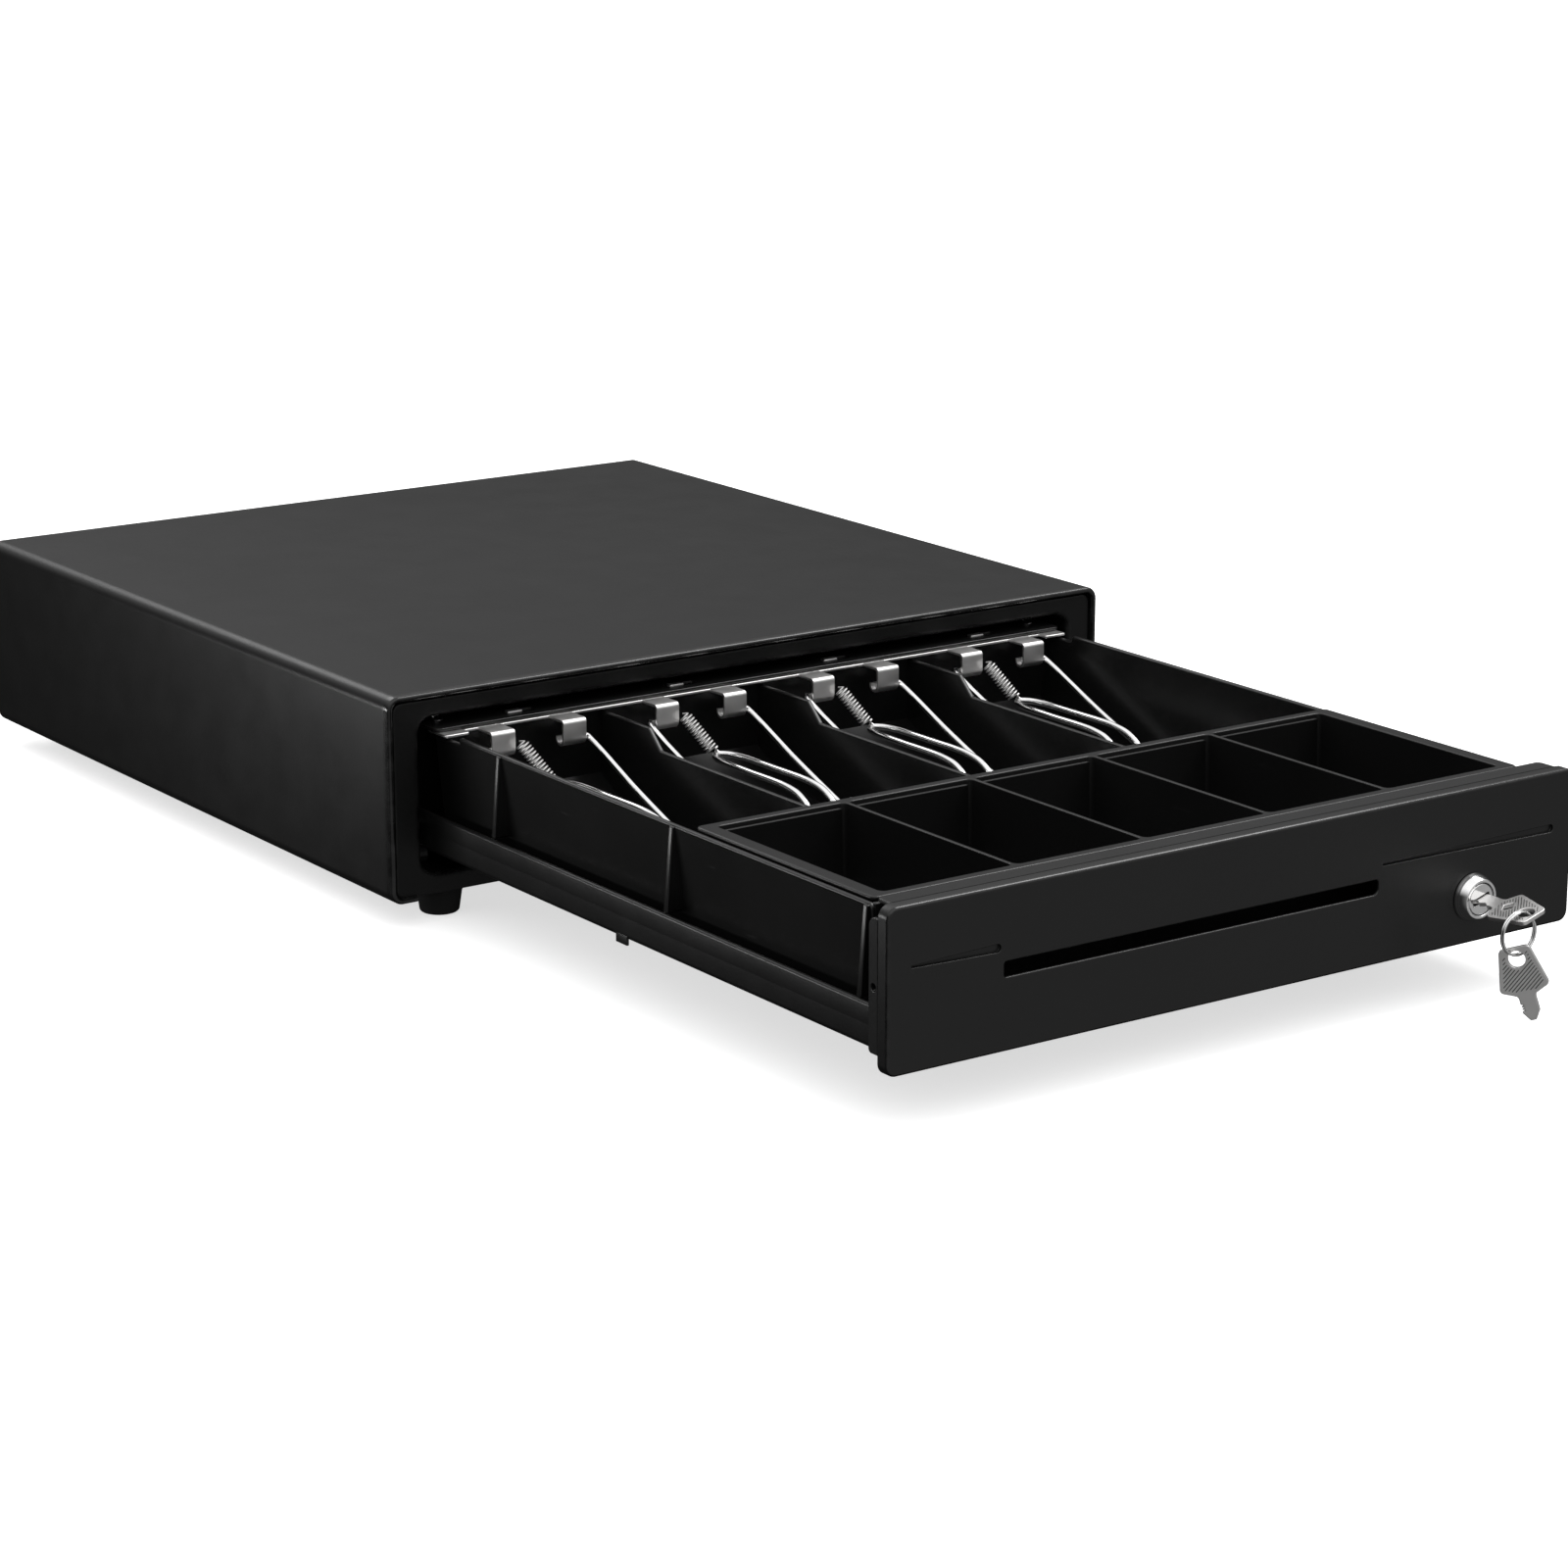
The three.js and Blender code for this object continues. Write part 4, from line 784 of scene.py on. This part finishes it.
divider = rounded([(CROSS_WALL - 0.5, TILL_LOW + 0.3), (3.0, TILL_LOW + 0.3), (3.0, 70.3), (-31, 70.3),
                   (-39, CROSS_TOP), (CROSS_WALL - 0.5, CROSS_TOP)], [0, 0, 0.3, 1.5, 1.5, 0], 5)
for i in (-1, 0, 1):
    till += slab("yz", divider, i * BILL_PITCH - 1, i * BILL_PITCH + 1, 0.6)

# %% [markdown]
# A rib is a thin triangle: nearly nothing at the top of the wall, and widest where it stands on the tray.

# %% Ribs
rib = rounded([(till_side(42.4) - 1, 42.4), (PAN_HALF - 0.6, 42.4), (TILL_HALF + 0.9, TILL_TOP - 0.6),
               (TILL_HALF - 1, TILL_TOP - 0.6)], [0.1, 0.5, 0.4, 0.1], 3)
for y in (-42, -154, -265):
    ribs = slab("xz", rib, y - 1.1, y + 1.1, 0.45)
    till += ribs + mirrored(ribs)
make("till", till, till_plastic, "drawer",
     ["till_tray", "bill_divider_1", "bill_divider_2", "bill_divider_3"])

# %% [markdown]
# ## The coin tray
# The coin tray is one vacuum-formed shape: a rim, and five pockets with rounded corners and a round turn at
# their floor. Each pocket is its outline carried down a profile, closed by a floor.

# %% Coin tray
COIN_TOP, COIN_LOW, COIN_WALL = 74.2, 44.0, 1.6
COIN_FRONT, COIN_REAR, COIN_HALF = -264.8, -163.6, 141.0
COIN_INSIDE = 134.8
bay_pitch = (2 * COIN_INSIDE + COIN_WALL) / 5
bays = [rectangle(-COIN_INSIDE + i * bay_pitch, -COIN_INSIDE + i * bay_pitch + bay_pitch - COIN_WALL,
                  COIN_FRONT + 4, COIN_REAR - 4, 2.2, 6) for i in range(5)]
LIP, TURN = 0.5, 3.0
lip = arc((-LIP, COIN_TOP - LIP), LIP, 90, 0, 4)
bay_turn = arc((TURN, COIN_LOW + COIN_WALL + TURN), TURN, 180, 270, 6)
bay_rows = np.concatenate([[(-LIP - 0.1, COIN_TOP)], lip, bay_turn, [(TURN + 0.3, COIN_LOW + COIN_WALL)]])
# The rim and the pockets' rounded lips are edges: lighter there, partly rubbed plastic and partly a painted
# highlight.
bay_wear_and_highlight = ridge(5, 8)
rim = rectangle(-COIN_HALF, COIN_HALF, COIN_FRONT, COIN_REAR, 2.5, 6)
rim_edge = arc((0.6, COIN_TOP - 0.6), 0.6, 90, 180, 4)
rim_under = [(0.1, COIN_TOP - 1.2), (3.6, COIN_TOP - 1.3), (4.3, COIN_TOP - 2.2)]
rim_foot = [(4.6, COIN_LOW + 2.5), (5.2, COIN_LOW + 0.6), (7, COIN_LOW)]
rim_rows = np.concatenate([[(0.8, COIN_TOP)], rim_edge, rim_under, rim_foot])
rim_wear_and_highlight = ridge(5, 6)
coin = [wall("xy", rim, rim_rows, rim_wear_and_highlight),
        fill("xy", [grown(rim, -0.8)] + [grown(bay, LIP + 0.1) for bay in bays], COIN_TOP),
        fill("xy", [grown(rim, -7)], COIN_LOW)]
for bay in bays:
    coin += [wall("xy", bay, bay_rows, bay_wear_and_highlight), fill("xy", [grown(bay, -(TURN + 0.3))], COIN_LOW + COIN_WALL)]
make("coin_insert", coin, till_plastic, "coin_tray", ["coin_tray"])

# %% [markdown]
# ## The clip bar and its clips
# A plated strip runs across the back of the note bays. At each clip it has two tabs that bend down and curl
# round the wire, like the knuckles of a hinge. Each clip is one wire: it starts in one curl, runs down to the
# notes, turns back, rises to a hook in the middle and returns the same way.

# %% Clip bar
BAR_TOP, BAR_SHEET, TAB_X, TAB_WIDTH = 72.5, 1.1, 15.4, 10.1
EYE_Y, EYE_Z, EYE_RADIUS = -8.9, 65.2, 1.75
BAR_END_X = 139.2
bend = arc((-12 + 1.6, BAR_TOP - 1.6), 1.6, 90, 180, 6)
curl = arc((EYE_Y - 0.25, EYE_Z), EYE_RADIUS + BAR_SHEET, 180, 372, 16)
tab_path = np.concatenate([[(-1.9, BAR_TOP)], bend, curl])
tab = strip(tab_path, BAR_SHEET)
bar = slab("xy", rectangle(-134, 134, -1.8, 10, 0.6, 3), BAR_TOP - BAR_SHEET, BAR_TOP, 0.3)
for side in (-1, 1):
    end_plate = rectangle(side * BAR_END_X - 5.1, side * BAR_END_X + 5.1, -6, 8, 1.0, 4)
    bar += slab("xy", end_plate, BAR_TOP - BAR_SHEET, BAR_TOP, 0.3)
for x in BILL_CENTRES:
    for side in (-1, 1):
        centre = x + side * TAB_X
        bar += slab("yz", tab, centre - TAB_WIDTH / 2, centre + TAB_WIDTH / 2, 0.2)
    bar += slab("xy", rectangle(x - 3.2, x + 3.2, 5, 8, 0.5, 3), BAR_TOP - BAR_SHEET, DECK_TOP + 0.5, 0.3)
make("clip_strip", bar, nickel, "drawer", ["clip_bar"])

# %% [markdown]
# The wire's points are half of the clip, from the curl to the hook, and the other half is their mirror image.

# %% Bill clips
WIRE = 1.2
ARM = TAB_X + 6.9
half_clip = np.array([
    (TAB_X - 3, EYE_Y, EYE_Z), (ARM - 2.4, EYE_Y, EYE_Z), (ARM - 0.5, EYE_Y - 0.9, EYE_Z - 0.3),
    (ARM, EYE_Y - 3.4, EYE_Z - 1.4), (ARM, -45, 50.4), (ARM, -84, 35.8),
    (ARM - 1.4, -92, 33), (ARM - 5, -96.5, 32.2), (ARM - 9.5, -98, 33), (ARM - 13.6, -96.8, 36.6),
    (6, -91, 46.4), (5.6, -84.5, 51), (5.5, -76, 52.8), (5.4, -50, 53), (5, -32, 53), (3.2, -25.4, 53)])
hook = np.array([(0, -22.6, 53)])
clip_path = smooth_path(np.concatenate([half_clip, hook, half_clip[::-1] * [-1, 1, 1]]), 8)
for number, x in enumerate(BILL_CENTRES, 1):
    make(f"wire_clip_{number}", tube(clip_path + [x, 0, 0], WIRE, 14), chrome, f"bill_clip_{number}",
         [f"bill_clip_{number}"])

# %% [markdown]
# A small tension spring pulls each clip down. It is wound tight, and each end is a hook: the upper one in the
# bar, the lower one round the clip's hook. When the clip lifts, the spring has to stretch; here it is made in
# its resting shape only, fixed in place and tied to no moving body.

# %% Clip springs
SPRING_RADIUS, SPRING_WIRE = 2.25, 0.36


def tension_spring(top, bottom, turns):
    """A helix with a straight leg above, and below a leg that goes once round the clip's hook."""
    along = (bottom - top) / np.linalg.norm(bottom - top)
    helix = coil(top + along * 1.2, bottom - along * 1.8, SPRING_RADIUS, turns)
    around = np.radians(np.linspace(70, 380, 22))[:, None]
    eye = bottom + 1.62 * (np.cos(around) * [0, 1, 0] + np.sin(around) * [0, 0, 1]) + [0.8, 0, 0] * around / 6
    return np.concatenate([[top], helix, eye])


for number, x in enumerate(BILL_CENTRES, 1):
    top, bottom = np.array([x - 9.0, -12.4, 67.8]), np.array([x - 0.9, -22.4, 53.0])
    spring = make(f"coil_{number}", tube(tension_spring(top, bottom, 12), SPRING_WIRE, 6), nickel, None,
                  [f"clip_spring_{number}"])
    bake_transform(spring)
print("springs made")

# %% [markdown]
# ## The lock
# The lock's head is a turned, chromed bell with a round face. Inside it turns the plug, whose keyway takes a
# flat key. The head, the plug and the key share one axis.

# %% Lock
lock_centre = (LOCK_X, PANEL_Y, LOCK_Z)
head_profile = np.concatenate([
    [(5.85, 10.5), (5.85, -4.2)], arc((6.2, -4.6), 0.35, 180, 270, 4), arc((6.6, -4.3), 0.65, 270, 320, 4),
    arc((4.9, -0.9), 3.5, 330, 352, 6), [(8.6, -0.9), (8.6, -0.3), (7.4, -0.3), (7.4, 10.5)]])
head = turned(head_profile, lock_centre, "y", 72)
head_points = head[0].reshape(72, len(head_profile), 3)
make("lock_head", [grid(head_points, 0, close_u=True, close_v=True)], chrome, "drawer", ["lock_housing"])
ROLL = math.radians(17)


def rolled(points, angle=ROLL):
    """Points turned about the lock's axis, to where the key stands."""
    c, s = math.cos(angle), math.sin(angle)
    x, z = points[..., 0] - LOCK_X, points[..., 2] - LOCK_Z
    return np.stack([LOCK_X + x * c - z * s, points[..., 1], LOCK_Z + x * s + z * c], axis=-1)


def rolled_patches(patches):
    """The same patches turned about the lock's axis."""
    return [(rolled(points), faces, wear_and_highlight) for points, faces, wear_and_highlight in patches]


disc = arc((LOCK_X, LOCK_Z), 5.6, 0, 360, 48)[:-1]
keyway = rectangle(LOCK_X - 4, LOCK_X + 4, LOCK_Z - 1.2, LOCK_Z + 1.2, 0.3, 3)
barrel = slab("xz", disc, PANEL_Y - 4.7, PANEL_Y + 11.4, 0.4, [keyway], 0.2)
make("lock_barrel", rolled_patches(barrel), chrome, "lock", ["lock_plug"])

# %% [markdown]
# ## Keys
# A key is stamped from sheet: an outline with shoulders, a hole for the ring and a window. Its bow is knurled
# with parallel grooves inside a smooth border, and the blade is milled with bitting cuts.

# %% Key blanks
KEY_THICK, RING_HOLE = 1.6, 3.0


def key_outline(blade_end, cuts):
    """Half a key mirrored: narrow top with round corners, wide shoulders, and a blade with bitting on one side."""
    bow_side = [(0, -4.3), (5.3, -4.3), (8.8, 10.6), (3.4, 13), (3, 14)]
    blade_side = [(3, blade_end - 3), (1, blade_end), (0, blade_end)]
    side = rounded(bow_side + blade_side, [0, 1.8, 1.6, 0.3, 0.3, 0.3, 0.2, 0], 6)
    other = side[::-1] * [-1, 1]
    blade = np.linspace(16, blade_end - 3.5, 2 * cuts + 1)
    bitten = np.stack([-3 + np.where(np.arange(2 * cuts + 1) % 2, 1.1, 0.0), blade], axis=-1)[::-1]
    keep = other[:, 1] < 15.0
    tip = other[other[:, 1] > blade_end - 3.2]
    return np.concatenate([side[:-1], tip, bitten, other[keep][:-1]])


def inside(points, outline):
    """Which 2D points lie inside an outline: a ray to the right crosses it an odd number of times."""
    ahead = np.roll(outline, -1, axis=0)
    x, y = points[:, :1], points[:, 1:]
    spans = (outline[:, 1] > y) != (ahead[:, 1] > y)
    rise = np.where(ahead[:, 1] == outline[:, 1], 1.0, ahead[:, 1] - outline[:, 1])
    meets = outline[:, 0] + (y - outline[:, 1]) * (ahead[:, 0] - outline[:, 0]) / rise
    return (spans & (x < meets)).sum(axis=1) % 2 == 1


def hatching(outline, low, high, lean, pitch=1.3, border=1.3, keep_out=()):
    """Grooves filled with dark oxide across both faces of the bow, kept inside its border and off its holes."""
    field = grown(outline, -border)
    lines = []
    for start in np.arange(low - 12, high + 12, pitch):
        run = np.linspace(-8.5, 8.5, 69)
        line = np.stack([run, start + run * lean], axis=-1)
        shown = inside(line, field) & (line[:, 1] > low) & (line[:, 1] < high)
        for hole in keep_out:
            shown &= ~inside(line, grown(hole, 0.8))
        marks = np.flatnonzero(shown)
        for piece in np.split(marks, np.flatnonzero(np.diff(marks) > 1) + 1):
            if len(piece) > 2:
                ends = line[[piece[0], piece[-1]]]
                for face_z in (-1, 1):
                    path = np.column_stack([ends, np.full(2, face_z * (KEY_THICK / 2 - 0.14))])
                    lines += tube(path, 0.22, 6)
    return lines


def key(blade_end, cuts, window):
    """A blank lying flat with its ring hole at the origin."""
    hole = arc((0, 0), RING_HOLE, 0, 360, 32)[:-1]
    return slab("xy", key_outline(blade_end, cuts), -KEY_THICK / 2, KEY_THICK / 2, 0.25, [hole] + window, 0.2)


KEY_REACH = 26.5
window = [rounded([(-3, 8.6), (0, 6.6), (3, 8.6), (0, 10.6)], 0.4, 3)]
oxide = plated("oxide", 0.05, 0.0, 0.4, 0.3, (900, 900, 900), 0.2)


def in_lock(patches):
    """Flat key patches moved to the lock and turned with it."""
    bow_place = [LOCK_X, PANEL_Y - KEY_REACH, LOCK_Z]
    return rolled_patches([(points + bow_place, faces, wear_and_highlight) for points, faces, wear_and_highlight in patches])


bow = key_outline(KEY_REACH + 8, 4)
ring_hole = arc((0, 0), RING_HOLE, 0, 360, 32)[:-1]
make("key_in_lock", in_lock(key(KEY_REACH + 8, 4, window)), nickel, "lock", ["lock_key"])
make("key_in_lock_hatching", in_lock(hatching(bow, -3.5, 12.5, 0.9, keep_out=[ring_hole] + window)), oxide,
     "lock")

# %% [markdown]
# The split ring is a wire wound twice round, so it looks like two wires side by side. The spare key hangs on
# it, turned to one side.

# %% Split ring and spare key
RING_RADIUS, RING_WIRE = 7.6, 0.44
ring_centre = np.array([LOCK_X - 3.4, PANEL_Y - KEY_REACH, LOCK_Z - 6.2])
share = np.linspace(0, 1, 145)
angle = 4 * math.pi * share + 0.6
offset = np.clip((share - 0.46) / 0.08, 0, 1)
offset = (offset * offset * (3 - 2 * offset) - 0.5) * 0.9
ring_path = ring_centre + np.stack([RING_RADIUS * np.cos(angle), offset, RING_RADIUS * np.sin(angle)], axis=-1)
make("ring", tube(ring_path, RING_WIRE, 10), chrome, "split_ring", ["split_ring"])

TILT, SWIVEL, SPARE_REACH = math.radians(18), math.radians(52), 22.2


def hung(points):
    """A flat key turned so that its blade points down, tilted, and swivelled about the vertical."""
    x, y, z = points[..., 0], points[..., 2], -points[..., 1]
    x, z = x * math.cos(TILT) - z * math.sin(TILT), x * math.sin(TILT) + z * math.cos(TILT)
    x, y = x * math.cos(SWIVEL) + y * math.sin(SWIVEL), -x * math.sin(SWIVEL) + y * math.cos(SWIVEL)
    return np.stack([x, y, z], axis=-1)


hang = ring_centre - [0, -0.2, RING_RADIUS + RING_HOLE - 0.9 - 0.6]
def on_ring(patches):
    """Flat key patches hung on the ring."""
    return [(hung(points) + hang, faces, wear_and_highlight) for points, faces, wear_and_highlight in patches]


spare_bow = key_outline(SPARE_REACH, 3)
make("spare_key_blank", on_ring(key(SPARE_REACH, 3, [])), nickel, "spare_key", ["spare_key"])
make("spare_key_hatching", on_ring(hatching(spare_bow, -2.5, 11.5, -0.75, keep_out=[ring_hole])), oxide,
     "spare_key")

# %% [markdown]
# ## The opening spring
# Behind the drawer a compression spring pushes it out when the latch lets go. In the real drawer it flattens as
# the drawer closes; here it is made at one length, fixed to the cabinet.

# %% Opening spring
eject_path = coil((-70, 286, 50), (-70, 333.6, 50), 5.3, 10, 24)
eject = make("opening_spring", tube(eject_path, 0.6, 8), zinc, "root", ["eject_spring"])
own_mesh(eject)

# %% [markdown]
# ## Floor, light and camera
# A pale floor stands on its own: it neither mirrors in the object nor throws light on it, so black stays black.
# The surroundings are a smooth sky that is bright overhead, half bright in front and dark behind, so chrome has
# something light and something dark to mirror. Three soft lamps draw the bright lines along the folded
# edges: one high on the right, one behind, and one on the left that grazes the cabinet's side. That last one
# stands lower than the cabinet's top, which would otherwise mirror it from the other side.

# %% Stage
class Surroundings(Finish):
    """The world's light, built with the same wires as the materials."""

    def __init__(self, name):
        self.material = bpy.context.scene.world = bpy.data.worlds.new(name)
        self.material.use_nodes = True
        self.tree = self.material.node_tree
        self.shader = self.tree.nodes["Background"]
        self.place = self.node("TexCoord", output="Generated")

    def along(self, axis):
        """The part of the direction along one axis."""
        return self.node("SeparateXYZ", None, {0: self.place}, output=axis)


FLOOR_REACH = 60  # metres


def stage_floor():
    """A very large pale square at the table's height."""
    mesh = bpy.data.meshes.new("floor")
    corners = [(x * FLOOR_REACH, y * FLOOR_REACH, 0) for x, y in ((-1, -1), (1, -1), (1, 1), (-1, 1))]
    mesh.from_pydata(corners, [], [(0, 1, 2, 3)])
    floor = bpy.data.objects.new("floor", mesh)
    bpy.context.scene.collection.objects.link(floor)
    floor.visible_glossy = floor.visible_diffuse = False
    pale = Finish("floor_white", {"Roughness": 0.9, "Specular IOR Level": 0.1, "Emission Strength": 0.75})
    shade = pale.mix(pale.noise(2.0, 2), grey(0.84), grey(0.88))
    mesh.materials.append(pale.feed({"Base Color": shade, "Emission Color": shade}))
    return floor


def area_light(name, place, target, size, power):
    """A square soft light that looks at a point."""
    light = bpy.data.lights.new(name, "AREA")
    light.shape, light.size, light.size_y, light.energy = "RECTANGLE", size[0], size[1], power
    lamp = bpy.data.objects.new(name, light)
    lamp.location = place
    lamp.visible_camera = False
    lamp.rotation_euler = (Vector(target) - Vector(place)).to_track_quat("-Z", "Y").to_euler()
    bpy.context.scene.collection.objects.link(lamp)
    return lamp


stage_floor()
sky = Surroundings("studio")
overhead = sky.band(sky.along("Z"), 0.1, 0.8)
in_front = sky.band(sky.along("Y") * -1.0, 0.1, 0.8)
sky.feed({"Color": (1, 1, 1, 1), "Strength": overhead * 1.1 + in_front * 0.37 + 0.02})
area_light("right_light", (1.0, -0.3, 1.6), (0, -0.1, 0.05), (0.8, 0.8), 16)
area_light("rear_light", (-0.1, 1.5, 1.1), (-0.1, 0, 0.05), (0.7, 0.5), 3)
area_light("left_light", (-0.75, 0.3, 0.045), (-0.165, -0.25, 0.045), (0.6, 0.07), 1.8)
bpy.context.scene.view_settings.view_transform = "Standard"

camera_data = bpy.data.cameras.new("camera")
camera_data.sensor_width, camera_data.lens = 36.0, 96.2
camera = bpy.data.objects.new("camera", camera_data)
azimuth, elevation = math.radians(35.02), math.radians(15.16)
flat = math.cos(elevation)
ahead = Vector((math.sin(azimuth) * flat, math.cos(azimuth) * flat, -math.sin(elevation)))
camera.location = (-0.891, -1.286 + FRONT_Y, 0.4545)
camera.rotation_euler = ahead.to_track_quat("-Z", "Y").to_euler()
bpy.context.scene.collection.objects.link(camera)
bpy.context.scene.camera = camera
print("camera", [round(c, 3) for c in camera.location])
